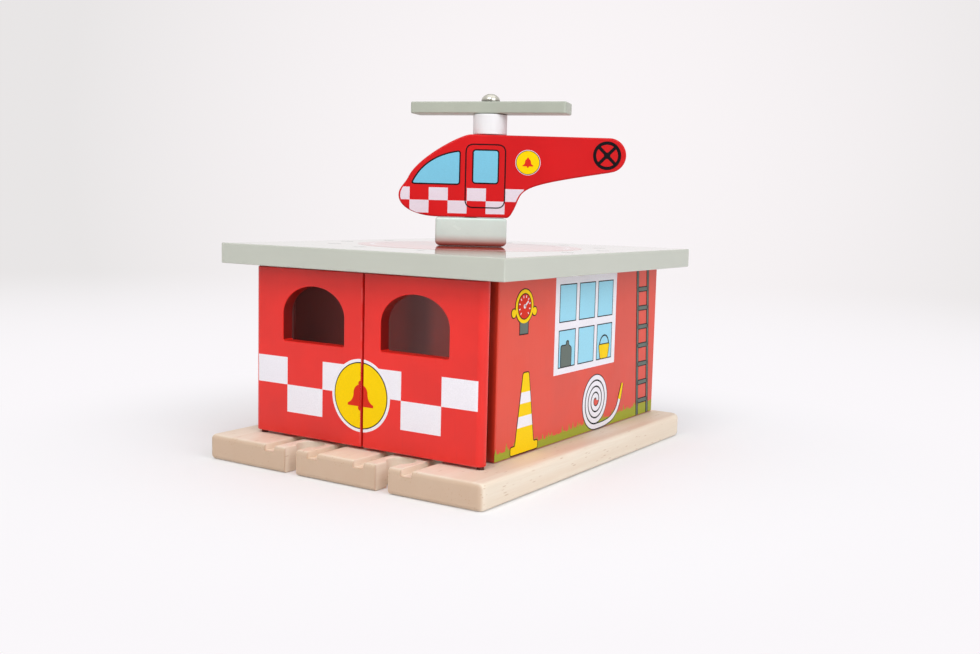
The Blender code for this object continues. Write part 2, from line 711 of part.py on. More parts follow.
def build_station():
    """Every piece of the fire station, each with its own material."""
    wood = make_material("beech", BEECH)
    steel = make_material("screw_steel", SCREW_STEEL, metallic=1.0)
    build_board(make_material("board_beech", BEECH))
    for side, way in (("left", -1), ("right", 1)):
        build_side_wall(side, way, make_material(f"{side}_wall_red", RED_PAINT))
        build_door(side, way, make_material(f"{side}_door_red", RED_PAINT), wood)
    build_back_wall(make_material("back_wall_red", RED_PAINT))
    build_roof(make_material("roof_grey", GREY_PAINT))
    build_fixings(steel, wood)
    build_helicopter(steel, wood)


clear_scene()
build_station()
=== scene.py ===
"""The painted, printed and wooden surfaces of a toy fire station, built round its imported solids.

Everything is in metres, with +Z up and the doors facing -Y.  Run as a script it builds the whole
station.  Each piece can also be built from the panel in the 3D view's sidebar.
"""

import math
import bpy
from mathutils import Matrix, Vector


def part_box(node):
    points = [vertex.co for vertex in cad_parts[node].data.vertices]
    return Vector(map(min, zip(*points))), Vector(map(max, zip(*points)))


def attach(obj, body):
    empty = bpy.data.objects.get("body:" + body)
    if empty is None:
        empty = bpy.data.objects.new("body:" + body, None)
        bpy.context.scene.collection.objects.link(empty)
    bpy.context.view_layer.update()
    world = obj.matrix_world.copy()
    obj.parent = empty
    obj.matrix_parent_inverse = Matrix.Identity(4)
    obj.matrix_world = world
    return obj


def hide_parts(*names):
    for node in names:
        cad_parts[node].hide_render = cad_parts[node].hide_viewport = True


bl_info = {
    "name": "Wooden Fire Station",
    "version": (1, 0, 0),
    "blender": (4, 5, 0),
    "location": "3D View > Sidebar > Fire Station",
    "description": "Builds the painted, printed and wooden surfaces of a toy fire station",
    "category": "Add Mesh",
}

from collections import namedtuple

import bmesh
import bpy
import numpy as np
from mathutils import Matrix, Vector

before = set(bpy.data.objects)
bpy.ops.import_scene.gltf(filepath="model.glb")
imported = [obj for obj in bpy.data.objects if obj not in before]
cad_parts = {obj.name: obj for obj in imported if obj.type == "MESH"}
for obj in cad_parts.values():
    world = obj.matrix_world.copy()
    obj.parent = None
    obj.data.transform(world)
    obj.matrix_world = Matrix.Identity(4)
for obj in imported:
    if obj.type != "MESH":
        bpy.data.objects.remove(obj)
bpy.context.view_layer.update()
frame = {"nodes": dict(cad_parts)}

# How finely round shapes are drawn
CIRCLE_STEPS = 96
CORNER_STEPS = 8
SMALL_CORNER_STEPS = 3
PANE_CORNER_STEPS = 4
CURVE_STEPS = 24
EDGE_SEGMENTS = 4
DOOR_EDGE_SEGMENTS = 3
RIM_ANGLES = (0, 30, 60)
SHARP_ANGLE = math.radians(35)
SHORT_SIDE_SHARE = 0.45
SCREW_DOME_END = 88

# Clearances shared by every piece
SEAT_GAP = 0.0003
CUT_OVERRUN = 0.002
INK_SINK = 0.00008
INK_THICKNESS = 0.00003

# Widths of the printed lines, and the radius of the dial's hub
KEYLINE = 0.0005
PANE_LINE = 0.0007
DOOR_LINE = 0.0006
BADGE_LINE = 0.0003
HANDLE_LINE = 0.00075
DIAL_HAND_LINE = 0.0008
DIAL_HUB_RADIUS = 0.001

# How far the curves of the helicopter's outline are pulled along their headings
NOSE_BELLY_PULL_SHARES = (0.45, 0.30)
NOSE_FRONT_PULL_SHARES = (0.35, 0.35)
NOSE_ROOF_PULL_SHARES = (0.28, 0.13)
BOOM_PULL_SHARES = (1.00, 0.28)

# A bell, as shares of its height
BELL_CROWN_HEIGHT = 0.1
BELL_CROWN_RADIUS = 0.36
BELL_RIM = (0.66, -0.34)
BELL_RIM_HEADING = -20
BELL_RIM_THICKNESS = 0.1
BELL_FLARE_PULL_SHARES = (0.5, 0.3)
BELL_KNOB_RADIUS = 0.12
BELL_KNOB_REACH = 0.5

# The chequers' white squares: their row in each column of a door, their columns in each row of the
# helicopter
DOOR_WHITE_ROWS = (1, 0, 1)
HELICOPTER_WHITE_COLUMNS = ((0, 2, 4), (-1, 1, 3, 5))

# Outlines of the small printed pictures, as shares of their half width and their height
CONE_SHARES = ((-1, 0), (1, 0), (1, 0.1), (0.68, 0.1), (0.2, 1), (-0.2, 1), (-0.68, 0.1), (-1, 0.1))
CONE_BAND_SHARES = ((0.32, 0.46), (0.62, 0.76))
PAIL_SHARES = ((-0.66, 0), (0.66, 0), (0.95, 0.62), (-0.95, 0.62))
CAN_SHARES = (
    (-1, 0), (1, 0), (1, 0.72), (0.45, 0.84), (0.45, 1), (0.05, 1), (0.05, 0.84), (-1, 0.84)
)

# Place, half width and height of the pail and the can, and the handle's height and radius, as
# shares of a pane's width
PAIL_IN_PANE = (0.5, 0.36, 0.68)
CAN_IN_PANE = (0.45, 0.3, 0.72)
HANDLE_HEIGHT = 0.4
HANDLE_RADIUS = 0.3
HANDLE_ANGLES = (8, 172)

# The dial, as shares of its radius, and the marks on its face, as shares of the face's radius
DIAL_FACE = 0.72
DIAL_BRACKET = (-0.46, 0.46, -1.62, -0.7)
DIAL_KNOB_PLACE = (1.18, -0.35)
DIAL_KNOB_RADIUS = 0.24
DIAL_TICKS = 10
DIAL_TICK_ANGLES = (-45, 225)
DIAL_TICK_ENDS = ((0.72,), (0.92,))
DIAL_HAND_END = (0.55, 0.4)

# The grass: where between two valleys a blade's tip may stand, and how much of the longest it has
GRASS_SEED = 7
BLADE_PLACES = (0.2, 0.8)
BLADE_SHARES = (0.15, 1.0)

# The hose, as shares of its pitch, and its nozzle's ends and widths, as shares of its width
HOSE_TURNS = 3.75
HOSE_START_RADIUS = 0.6
HOSE_TIP_DROP = 0.15
HOSE_TIP_HEADING = 72
HOSE_TIP_PULL_SHARES = (0.45, 0.4)
NOZZLE_ENDS = ((-0.4,), (3.4,))
NOZZLE_WIDTHS = (1.25, 0.75)

# The crossed spokes in the tail ring, and the dashes round the landing pad
SPOKE_HEADINGS = (45, 135)
PAD_DASHES = 12

# How rough and glossy each paint and ink is, and how strong its marks are
Look = namedtuple("Look", "roughness gloss marks", defaults=(1.0,))
WALL_LOOK = Look(0.34, 0.5)
DOOR_LOOK = Look(0.34, 0.45)
ROOF_LOOK = Look(0.05, 0.6, 0.2)
STAND_LOOK = Look(0.2, 0.6)
MAST_LOOK = Look(0.36, 0.5)
ROTOR_LOOK = Look(0.36, 0.4)
HELICOPTER_LOOK = Look(0.3, 0.22)
PIN_LOOK = Look(0.6, 0.2)
INK_LOOK = Look(0.36, 0.08)
ROOF_INK_LOOK = Look(0.05, 0.5, 0.2)

# Soft marks in the finishes: their size in metres, their layers of detail, how much they are
# twisted, and the values of the noise at which they start and are full
Marks = namedtuple("Marks", "size detail twist start full")
WOOD_BANDS = Marks(0.0085, 3.0, 0.6, 0.32, 0.72)
WOOD_FLECK_PATCHES = Marks(0.0085, 1.0, 0.0, 0.42, 0.6)
PAINT_CLOUDS = Marks(0.035, 3.0, 0.0, 0.3, 0.7)
EDGE_WEAR = Marks(0.006, 2.0, 0.0, 0.4, 0.62)
SMUDGES = Marks(0.018, 4.0, 0.4, 0.45, 0.75)
INK_COVER = Marks(0.0005, 2.0, 0.0, 0.3, 0.7)
INK_CLOUDS = Marks(0.035, 2.0, 0.0, 0.3, 0.7)
DULL_PATCHES = Marks(0.0018, 2.0, 0.0, 0.4, 0.7)

# How far the grain is drawn out, the wood's fibres and flecks, and the shares of its darker tones
GRAIN_STRETCH = 0.05
WOOD_FIBRE = 0.0007
WOOD_FIBRE_DETAIL = 4.0
WOOD_FIBRE_RANGE = (0.35, 0.75)
WOOD_FIBRE_RELIEF = 0.00003
WOOD_RELIEF_SHARES = (0.7, 0.3)
WOOD_FLECK = 0.0015
WOOD_FLECK_STRETCH = 0.16
WOOD_FLECK_RANGE = (0.10, 0.22)
WOOD_END_RANGE = (0.00024, 0.0016)
WOOD_BAND_SHARE = 0.55
WOOD_FIBRE_SHARE = 0.22
WOOD_END_SHARE = 0.85
WOOD_FLECK_SHARE = 0.5
WOOD_ROUGHNESS = (0.44, 0.2)

# The paint's ripple and grain, and how its marks change its tone and roughness
PAINT_RIPPLE = 0.0016
PAINT_RIPPLE_DETAIL = 1.0
PAINT_RIPPLE_RELIEF = 0.000012
PAINT_GRAIN = 0.0011
PAINT_GRAIN_DETAIL = 3.0
PAINT_GRAIN_RANGE = (0.55, 0.8)
PAINT_GRAIN_SHARE = 0.25
PAINT_GRAIN_RELIEF = 0.00001
PAINT_GRAIN_TONE = 0.86
CLOUD_PALER = 0.05
CLOUD_DEEPER = 0.07
EDGE_WEAR_REACH = 0.0011
EDGE_WEAR_SHARE = 0.4
WORN_KEPT = 0.8
WORN_LIFT = 0.13
SMUDGE_ROUGHNESS = 0.07
WEAR_ROUGHNESS = 0.12
GRAIN_ROUGHNESS = 0.04

# The tones and the roughness of the ink, and of the screws' plate with its scratches
INK_TONES = (0.95, 1.03)
INK_CLOUD_SHARE = 0.5
INK_ROUGHNESS = 0.08
NICKEL_SCRATCH = 0.0004
NICKEL_SCRATCH_DETAIL = 3.0
NICKEL_SCRATCH_STRETCH = (1, 1, 0.1)
NICKEL_SCRATCH_RELIEF = 0.000006
NICKEL_DULL_SHARE = 0.5
NICKEL_DULL_TONE = 0.86
NICKEL_ROUGHNESS = (0.15, 0.12, 0.06)

# Places where little light gets in: how far each shade reaches, and its share of the deep tone
DEEP_TONE = 0.2
UNDER_ROOF_SHADE = (0.006, 0.3)
DOOR_FOOT_SHADE = (0.04, 0.06)
WALL_FRONT_SHADE = (0.0032, 0.66)
STAND_FOOT_SHADE = (0.0062, 0.9)
SCREW_FOOT_SHADE = (0.0016, 0.85)

# The window's reveal in a door, and the inside of a side wall: where it is dark behind the doors,
# and where its dim band starts and ends
REVEAL_SHARE = 0.88
NEAR_DOORS_RANGE = (-0.066, 0.002)
DIM_BAND_START = (0.012, 0.031)
DIM_BAND_END = (0.038, 0.053)
DIM_BAND_SHARE = 0.65
MASK_SOFTNESS = 0.0002
MASK_REACH = 0.001

# The direction in which the backdrop is brightest, and how far from that it has its side tone
BACKDROP_YAW = math.radians(29.4)
BACKDROP_RISE = math.radians(2.8)
BACKDROP_REACH = math.radians(23.8)

# The floor's clouds and their tones, the sensor, and the lamps' places and widths
FLOOR_CLOUD = 0.6
FLOOR_TONES = (0.995, 1.005)
SENSOR_WIDTH = 36
CLIP_RANGE = (0.01, 100)
LAMP_TARGET = (0, 0, 0.07)
KEY_LAMP = ((1.15, -0.35, 0.75), 0.9)
TOP_LAMP = ((0.1, 0.1, 1.3), 1.2)
FRONT_LAMP = ((0.15, -0.85, 1.1), 0.5)
KEY_TINT = (0.98, 1.0, 1.05)

# Each side's name, and the way in which it lies along X
SIDES = (("left", -1), ("right", 1))


def length(default, description):
    """A length in metres that a user may change."""
    return bpy.props.FloatProperty(
        default=default, description=description, unit="LENGTH", precision=5
    )


def lengths(default, description):
    """A few lengths in metres that belong together, such as those of a place."""
    return bpy.props.FloatVectorProperty(
        default=default, size=len(default), description=description, unit="LENGTH", precision=5
    )


def angle(degrees, description):
    """An angle that a user may change."""
    return bpy.props.FloatProperty(
        default=math.radians(degrees), description=description, unit="ROTATION"
    )


def colour(default, description):
    """A paint or ink colour that a user may change."""
    return bpy.props.FloatVectorProperty(
        default=default, description=description, subtype="COLOR", min=0, max=1
    )


def power(default, description):
    """A lamp's power in watts."""
    return bpy.props.FloatProperty(default=default, description=description, unit="POWER", min=0)


def named(group):
    """Name each property of a group after its attribute, in plain words."""
    for key, held in group.__annotations__.items():
        held.keywords["name"] = key.replace("_", " ").capitalize()
    return group


@named
class BoardSizes(bpy.types.PropertyGroup):
    """The track board: its rounded edges, its lanes and its sockets."""

    edge_round: length(0.0022, "Radius of the board's edges")
    front_corner: length(0.003, "Radius of the two front corners")
    rear_corner: length(0.007, "Radius of the two rear corners")
    lane_spacing: length(0.0528, "Distance between the middles of the two lanes")
    groove_spacing: length(0.026, "Distance between a lane's two grooves")
    groove_width: length(0.006, "Width of each groove")
    groove_depth: length(0.003, "Depth of each groove")
    groove_end_margin: length(0.012, "From a groove's round end to the back wall")
    neck_width: length(0.0074, "Width of a socket's neck")
    head_radius: length(0.0067, "Radius of a socket's round head")
    head_setback: length(0.014, "From the board's front to a head's middle")
    rim_round: length(0.0006, "Radius of the rims of grooves and sockets")


@named
class ShedSizes(bpy.types.PropertyGroup):
    """The walls, the roof and the doors."""

    wall_edge_round: length(0.0007, "Radius of the walls' edges")
    roof_edge_round: length(0.0006, "Radius of the roof's edges")
    door_edge_round: length(0.0005, "Radius of the doors' and windows' edges")
    window_width: length(0.0375, "Width of a door's arched window")
    window_height: length(0.0267, "Height of a door's arched window")
    window_rise: length(0.0139, "How far the arch rises over the straight sides")
    window_top_margin: length(0.0079, "From a window up to its door's top")
    window_shift: length(0.0041, "How far a window lies towards the seam")
    window_corner: length(0.001, "Radius of a window's lower corners")
    window_offset: length(-0.0004, "How far both windows lie to one side")
    hinge_slack: length(0.0012, "How much narrower the right door is at its hinge")
    seam_slack: length(0.0004, "How much narrower the right door is at the seam")
    front_slack: length(0.0012, "How far the side walls stand back from the doors")
    rear_post: length(0.0138, "Width of the post between the two rear doorways")
    rear_leg: length(0.0082, "Width of the back wall beside a rear doorway")
    rear_lintel: length(0.012, "Height of the back wall over the rear doorways")


@named
class DoorPrintSizes(bpy.types.PropertyGroup):
    """The chequered band and the round badge across the doors."""

    band_height: length(0.0111, "From a door's bottom to the band")
    row_height: length(0.01305, "Height of each of the band's two rows")
    squares: lengths((0.02285, 0.0219, 0.0188), "Widths of the squares from the seam outwards")
    shift: length(-0.00055, "How far the print lies off the seam")
    seam_margin: length(0.0007, "Bare paint between the print and the seam")
    badge_height: length(0.0238, "From a door's bottom to the badge's middle")
    badge_radius: length(0.0168, "Radius of the badge with its white border")
    badge_border: length(0.0019, "Width of the badge's white border")
    bell_size: length(0.0112, "Height of the badge's red bell")


@named
class WallPrintSizes(bpy.types.PropertyGroup):
    """The window, ladder, grass and small pictures on the right wall.

    Places are measured from the wall's front edge and from its bottom.
    """

    window_corner: lengths((0.0511, 0.0328), "Lower front corner of the white window frame")
    window_size: lengths((0.0637, 0.0467), "Width and height of the white window frame")
    frame: lengths((0.0039, 0.0035, 0.003), "Width of the frame at the sides, top and bottom")
    bars: lengths((0.0029, 0.0036), "Widths of the upright and the level bars between the panes")
    ladder: lengths((0.1515, 0.14585), "From the wall's front to the ladder's foot and its top")
    ladder_spacing: length(0.0126, "Distance between the ladder's rails")
    rail_width: length(0.0028, "Width of a rail")
    rung_height: length(0.0029, "Height of a rung")
    rung_pitch: length(0.0102, "Distance from rung to rung")
    first_rung: length(0.0081, "From the wall's bottom to the lowest rung")
    grass_height: length(0.0036, "Height of the grass under its blades")
    grass_rise: length(0.0028, "How much higher the grass stands at the back")
    blade_height: length(0.0042, "Height of the longest blade of grass")
    blade_pitch: length(0.0017, "Distance from blade to blade")
    dial: lengths((0.0228, 0.0677), "Middle of the dial")
    dial_radius: length(0.0076, "Radius of the dial's yellow rim")
    cone_setback: length(0.0258, "From the wall's front to the cone's middle")
    cone_width: length(0.0238, "Width of the cone's foot")
    cone_height: length(0.0365, "Height of the cone")
    hose: lengths((0.0955, 0.0152), "Middle of the hose's coil")
    hose_width: length(0.0023, "Width of the printed hose")
    hose_pitch: length(0.0031, "Distance from turn to turn of the coil")
    hose_reach: length(0.0275, "From the coil's middle to the nozzle")
    edge_margin: length(0.0008, "Bare paint round the wall's edges")
    foot_margin: length(0.0004, "Bare paint along the wall's bottom")


@named
class HelicopterSizes(bpy.types.PropertyGroup):
    """The helicopter board's outline, measured from its block, and the parts above it."""

    turn: angle(35, "How far the helicopter is turned on the roof")
    thickness: length(0.018, "Thickness of the board")
    edge_round: length(0.0009, "Radius of the board's edges")
    nose: lengths((-0.0367, 0.0105), "Foremost point of the nose")
    slope_foot: lengths((-0.0319, 0.0195), "Where the slope of the cabin's front starts")
    cabin_top_reach: length(0.0010, "From the block's middle to the top's start")
    belly_front: length(0.0170, "From the block's middle to the belly's front")
    belly_rear: length(0.0184, "From the block's middle to the belly's rear")
    belly_corner: length(0.0014, "Size of the belly's rear corner")
    slope_heading: angle(66, "How steep the slope is at its foot")
    boom_heading: angle(-122, "Which way the boom's curve meets the belly")
    tail_end: angle(-80.5, "Where the tail's round end passes into the boom")
    tail_radius: length(0.0086, "Radius of the tail's round end")
    tail_reach: length(0.0687, "From the block's middle to the tail's middle")
    mast_edge_round: length(0.0005, "Radius of the mast's rims")
    stand: lengths((0.0358, 0.022), "Length and width of the block")
    stand_edge_round: length(0.0012, "Radius of the block's edges")
    stand_foot_round: length(0.0024, "Radius of the edges round its foot")
    rotor_turn: angle(-18.7, "How far the rotor is turned from the helicopter")
    rotor: lengths((0.0813, 0.014), "Length and width of the rotor")
    rotor_corner: length(0.0016, "Radius of the rotor's corners")
    rotor_edge_round: length(0.0007, "Radius of the rotor's edges")
    screw_shank: length(0.0016, "Radius of the rotor's screw below its head")
    screw_rim: length(0.0005, "Height of the straight rim under the screw's dome")
    recess: lengths((0.001, 0.0026, 0.0014), "Width, reach and depth of the screw's cross recess")


@named
class HelicopterPrintSizes(bpy.types.PropertyGroup):
    """The pictures on the helicopter's sides.

    Places are measured from the block's middle towards the tail, and heights from the belly.
    """

    square: length(0.00955, "Width of the chequered band's squares")
    band_start: length(-0.0311, "Where the band's second column starts")
    band_height: length(0.0018, "From the belly to the band")
    row_height: length(0.00635, "Height of each of the band's two rows")
    edge_margin: length(0.0009, "Bare paint round the board's edges")
    cockpit: lengths((-0.0297, -0.0066, 0.0166, 0.0324), "Ends, sill and top of the cockpit window")
    cockpit_swell: length(0.0038, "How far its slope swells out")
    cockpit_corner: length(0.0011, "Radius of its corners")
    door: lengths((-0.0036, 0.0168, 0.0046, 0.0366), "Ends, bottom and top of the door's outline")
    door_corner: length(0.0044, "Radius of the door's corners")
    pane: lengths((0.0006, 0.0127, 0.0174, 0.0332), "Ends, bottom and top of the door's window")
    pane_corner: length(0.0012, "Radius of the door window's corners")
    badge: lengths((0.0278, 0.0279), "Middle of the badge")
    badge_radius: length(0.0063, "Radius of the badge")
    badge_border: length(0.0006, "Width of the badge's white border")
    bell_size: length(0.0041, "Height of the badge's red bell")
    ring: lengths((0.0675, 0.0324), "Middle of the tail ring")
    ring_radius: length(0.0071, "Radius of the tail ring")
    ring_width: length(0.0016, "Width of the tail ring's rim and spokes")
    hub_radius: length(0.0016, "Radius of the tail ring's hub")


@named
class PadPrintSizes(bpy.types.PropertyGroup):
    """The landing pad printed on the roof."""

    disc_radius: length(0.0570, "Radius of the pad's red disc")
    ring_radius: length(0.0510, "Radius of the pale ring in the disc")
    ring_width: length(0.0018, "Width of the pale ring in the disc")
    dash_radius: length(0.0690, "Radius on which the grey dashes lie")
    dash_length: length(0.0062, "Length of a grey dash")
    dash_width: length(0.0018, "Width of a grey dash")


@named
class Colours(bpy.types.PropertyGroup):
    """Paints, inks, wood and metal."""

    beech_light: colour((0.83, 0.735, 0.605), "Pale wood of the track board")
    beech_dark: colour((0.74, 0.58, 0.43), "Darker bands in the wood")
    beech_end: colour((0.57, 0.395, 0.27), "Wood cut across its fibres")
    beech_fleck: colour((0.48, 0.28, 0.15), "Short flecks in the wood")
    door_red: colour((0.80, 0.018, 0.011), "Red paint of the doors")
    # Painted sheen: the walls' red is the doors' red made more orange, for the warm gloss on the
    # lit right wall
    wall_red: colour((0.73, 0.056, 0.025), "Red paint of the walls")
    helicopter_red: colour((0.63, 0.004, 0.006), "Red of the helicopter")
    roof_grey: colour((0.525, 0.540, 0.470), "Grey-green paint of the roof")
    # Painted light: the block's grey is made paler to stand in for its sheen, and greener to offset
    # the red light from the pad
    stand_grey: colour((0.63, 0.77, 0.71), "Paler grey paint of the block")
    rotor_grey: colour((0.425, 0.45, 0.375), "Grey-green paint of the rotor")
    # Painted shade and painted reflection: the block's foot is deep red where the red pad below it
    # shows in it
    stand_foot: colour((0.34, 0.05, 0.03), "Red cast round the block's foot")
    # Painted shade: the hinge pins show only in the dark gaps at the doors' corners, so they are
    # painted deep brown
    pin_brown: colour((0.10, 0.03, 0.02), "Stained hinge pins")
    mast_white: colour((0.82, 0.81, 0.82), "White paint of the mast")
    ink_white: colour((0.89, 0.86, 0.91), "White printing ink")
    ink_pale: colour((0.775, 0.70, 0.775), "White printing ink of the helicopter")
    ink_black: colour((0.006, 0.005, 0.007), "Black printing ink")
    ink_yellow: colour((0.97, 0.65, 0.001), "Yellow printing ink")
    ink_red: colour((0.70, 0.03, 0.012), "Red printing ink")
    ink_blue: colour((0.20, 0.55, 0.73), "Sky blue printing ink")
    ink_pane: colour((0.35, 0.71, 0.87), "Paler blue of the wall's window")
    # Painted reflection: the pad's red is made pale to stand in for the bright room reflected over
    # it in the glossy roof
    pad_red: colour((0.50, 0.09, 0.06), "Faded red printing ink of the roof")
    ink_grey: colour((0.14, 0.17, 0.15), "Dark grey printing ink")
    ink_green: colour((0.36, 0.39, 0.037), "Grass green printing ink")
    nickel: colour((0.66, 0.65, 0.57), "Plated screws")
    floor: colour((0.86, 0.86, 0.87), "The pale floor")
    floor_far: colour((0.96, 0.935, 0.96), "The floor's even light round the toy")
    backdrop_near: colour((0.955, 0.915, 0.93), "The backdrop where it is brightest")
    backdrop_side: colour((0.81, 0.79, 0.79), "The backdrop to the sides of that")


@named
class Studio(bpy.types.PropertyGroup):
    """The camera, the floor and the lamps."""

    camera_place: lengths((0.31683, -0.47149, 0.12481), "The camera's place")
    camera_yaw: angle(32.622, "Turn of the view from +Y towards -X")
    camera_pitch: angle(6.279, "How far the camera looks down")
    camera_roll: angle(1.448, "Turn of the camera about its view")
    camera_lens: bpy.props.FloatProperty(
        default=40.82, description="Focal length on a 36 mm sensor", unit="CAMERA"
    )
    floor_radius: length(30.0, "Radius of the pale floor")
    fade_start: length(0.07, "Where the floor begins to fade into even light")
    fade_end: length(0.28, "Where the floor has faded into even light")
    far_end: length(1.5, "Where the floor takes the backdrop's colour")
    key_power: power(7.4, "The large soft lamp on the right")
    top_power: power(2.5, "The wide lamp overhead")
    front_power: power(6.0, "The small lamp high up in front")
    room_light: bpy.props.FloatProperty(
        default=0.68, description="Even light from all round", min=0
    )


@named
class FireStationSettings(bpy.types.PropertyGroup):
    """All sizes and colours of the fire station."""

    board: bpy.props.PointerProperty(type=BoardSizes)
    shed: bpy.props.PointerProperty(type=ShedSizes)
    door_print: bpy.props.PointerProperty(type=DoorPrintSizes)
    wall_print: bpy.props.PointerProperty(type=WallPrintSizes)
    helicopter: bpy.props.PointerProperty(type=HelicopterSizes)
    helicopter_print: bpy.props.PointerProperty(type=HelicopterPrintSizes)
    pad_print: bpy.props.PointerProperty(type=PadPrintSizes)
    colours: bpy.props.PointerProperty(type=Colours)
    studio: bpy.props.PointerProperty(type=Studio)


# Outlines in a plane


def arc(centre, radius, start, end, steps=CORNER_STEPS):
    """Points at centre + radius (cos a, sin a), for angles a from start to end in degrees."""
    angles = np.radians(np.linspace(start, end, steps + 1))
    return np.asarray(centre) + radius * np.column_stack([np.cos(angles), np.sin(angles)])


def circle(centre, radius, steps=CIRCLE_STEPS):
    """A full turn of an arc, without its repeated last point."""
    return arc(centre, radius, 0, 360, steps)[:-1]


def step_along(degrees):
    """A step of length one along a heading in degrees."""
    return np.array([math.cos(math.radians(degrees)), math.sin(math.radians(degrees))])


def bend(start, start_heading, end, end_heading, pull_shares, steps=CURVE_STEPS):
    """A cubic curve between two headings in degrees.

    It is (1-t)^3 A + 3(1-t)^2 t B + 3(1-t) t^2 C + t^3 D.  B lies ahead of A and C behind D, by
    the two shares of the distance between A and D.
    """
    first, last = np.asarray(start, float), np.asarray(end, float)
    chord = np.linalg.norm(last - first)
    leaving, arriving = np.radians([start_heading, end_heading])
    ahead = first + chord * pull_shares[0] * np.array([np.cos(leaving), np.sin(leaving)])
    behind = last - chord * pull_shares[1] * np.array([np.cos(arriving), np.sin(arriving)])
    t = np.linspace(0, 1, steps + 1)[:, None]
    near = 1 - t
    leaving_part = near ** 3 * first + 3 * near ** 2 * t * ahead
    return leaving_part + 3 * near * t ** 2 * behind + t ** 3 * last


def joined(*stretches):
    """One outline from several stretches, without points that fall on each other."""
    points = np.concatenate([np.atleast_2d(stretch) for stretch in stretches])
    apart = np.linalg.norm(points - np.roll(points, 1, axis=0), axis=1) > INK_THICKNESS
    return points[apart]


def rectangle(left, right, low, high):
    """The four corners of a rectangle."""
    return np.array([(left, low), (right, low), (right, high), (left, high)])


def soft_corners(corners, radius, steps=CORNER_STEPS):
    """An outline with each corner B rounded by the curve (1-t)^2 A + 2t(1-t) B + t^2 C.

    A and C lie a radius away from the corner on its two sides, or less on a short side.
    """
    corner = np.asarray(corners, float)
    before = np.roll(corner, 1, axis=0) - corner
    after = np.roll(corner, -1, axis=0) - corner
    before_length = np.linalg.norm(before, axis=1, keepdims=True)
    after_length = np.linalg.norm(after, axis=1, keepdims=True)
    start = corner + before * np.minimum(radius / before_length, SHORT_SIDE_SHARE)
    end = corner + after * np.minimum(radius / after_length, SHORT_SIDE_SHARE)
    t = np.linspace(0, 1, steps + 1)[None, :, None]
    start, corner, end = start[:, None], corner[:, None], end[:, None]
    curve = (1 - t) ** 2 * start + 2 * t * (1 - t) * corner + t ** 2 * end
    return curve.reshape(-1, 2)


def area(outline):
    """Half the sum of the cross products of neighbouring points: positive when it turns left."""
    after = np.roll(outline, -1, axis=0)
    return 0.5 * np.sum(outline[:, 0] * after[:, 1] - outline[:, 1] * after[:, 0])


def grown(outline, distance):
    """An outline moved out by a distance: each point goes along the sum n of its sides' normals,
    by 2 n / |n|^2, which keeps the sides parallel."""
    side = np.roll(outline, -1, axis=0) - outline
    side_length = np.linalg.norm(side, axis=1, keepdims=True)
    normal = np.column_stack([side[:, 1], -side[:, 0]]) / side_length
    both = (normal + np.roll(normal, 1, axis=0)) * math.copysign(1, area(outline))
    return outline + distance * 2 * both / np.sum(both ** 2, axis=1, keepdims=True)


def keep_side(outline, edge, way):
    """The part of an outline beyond a line across it, with a point where each side meets it."""
    after = np.roll(outline, -1, axis=0)
    depth = way * (outline[:, 0] - edge)
    crossed = np.flatnonzero(depth * np.roll(depth, -1) < 0)
    share = (depth / (depth - np.roll(depth, -1) + (depth == np.roll(depth, -1))))[crossed, None]
    crossings = outline[crossed] + share * (after - outline)[crossed]
    kept = np.flatnonzero(depth >= 0)
    order = np.argsort(np.concatenate([kept, crossed + 0.5]))
    return np.concatenate([outline[kept], crossings])[order]


def bell_outlines(centre, size):
    """A bell as three outlines: its body, the loop on its crown and its clapper.

    The body is drawn for one side, a quarter round over a flare, and mirrored for the other.
    """
    crown = arc((0, BELL_CROWN_HEIGHT), BELL_CROWN_RADIUS, 90, 0, CURVE_STEPS)
    flare = bend(crown[-1], -90, BELL_RIM, BELL_RIM_HEADING, BELL_FLARE_PULL_SHARES)
    side = joined(crown, flare, [(BELL_RIM[0], BELL_RIM[1] - BELL_RIM_THICKNESS)])
    body = joined(side, side[::-1] * (-1, 1))[::-1]
    loop = circle((0, BELL_KNOB_REACH), BELL_KNOB_RADIUS, CURVE_STEPS)
    clapper = circle((0, -BELL_KNOB_REACH), BELL_KNOB_RADIUS, CURVE_STEPS)
    return [outline * size + np.asarray(centre) for outline in (body, loop, clapper)]


def picture_outline(shares, centre, half_width, height, corner):
    """A small picture's outline, from its shares, standing on its centre."""
    points = np.asarray(centre) + np.array(shares) * (half_width, height)
    return soft_corners(points, corner, SMALL_CORNER_STEPS)


# Surfaces over a grid of points


def shell(grid, looped=False):
    """Faces over a grid whose rows are closed rings, each joined to the next.

    A looped shell joins its last ring to its first.  Any other has its two end rings filled.
    """
    rings, count = grid.shape[:2]
    index = np.arange(rings * count).reshape(rings, count)
    here = index if looped else index[:-1]
    onward = np.roll(index, -1, axis=0) if looped else index[1:]
    corners = (here, np.roll(here, -1, axis=1), np.roll(onward, -1, axis=1), onward)
    faces = [np.stack(corners, axis=-1).reshape(-1, 4)]
    if not looped:
        faces += [index[:1, ::-1], index[-1:]]
    return grid.reshape(-1, 3), faces


def upright(outline, height):
    """A plan at a height, which may differ from point to point."""
    return np.column_stack([outline, np.broadcast_to(height, len(outline))])


def board(outline, low, high):
    """A plan drawn out from one height to another."""
    return shell(np.stack([upright(outline, low), upright(outline, high)]))


def drawn_along(outline, front, rear):
    """An upright outline, of places along X and Z, drawn out from one place along Y to another."""
    return np.stack([np.insert(outline, 1, place, axis=1) for place in (front, rear)])


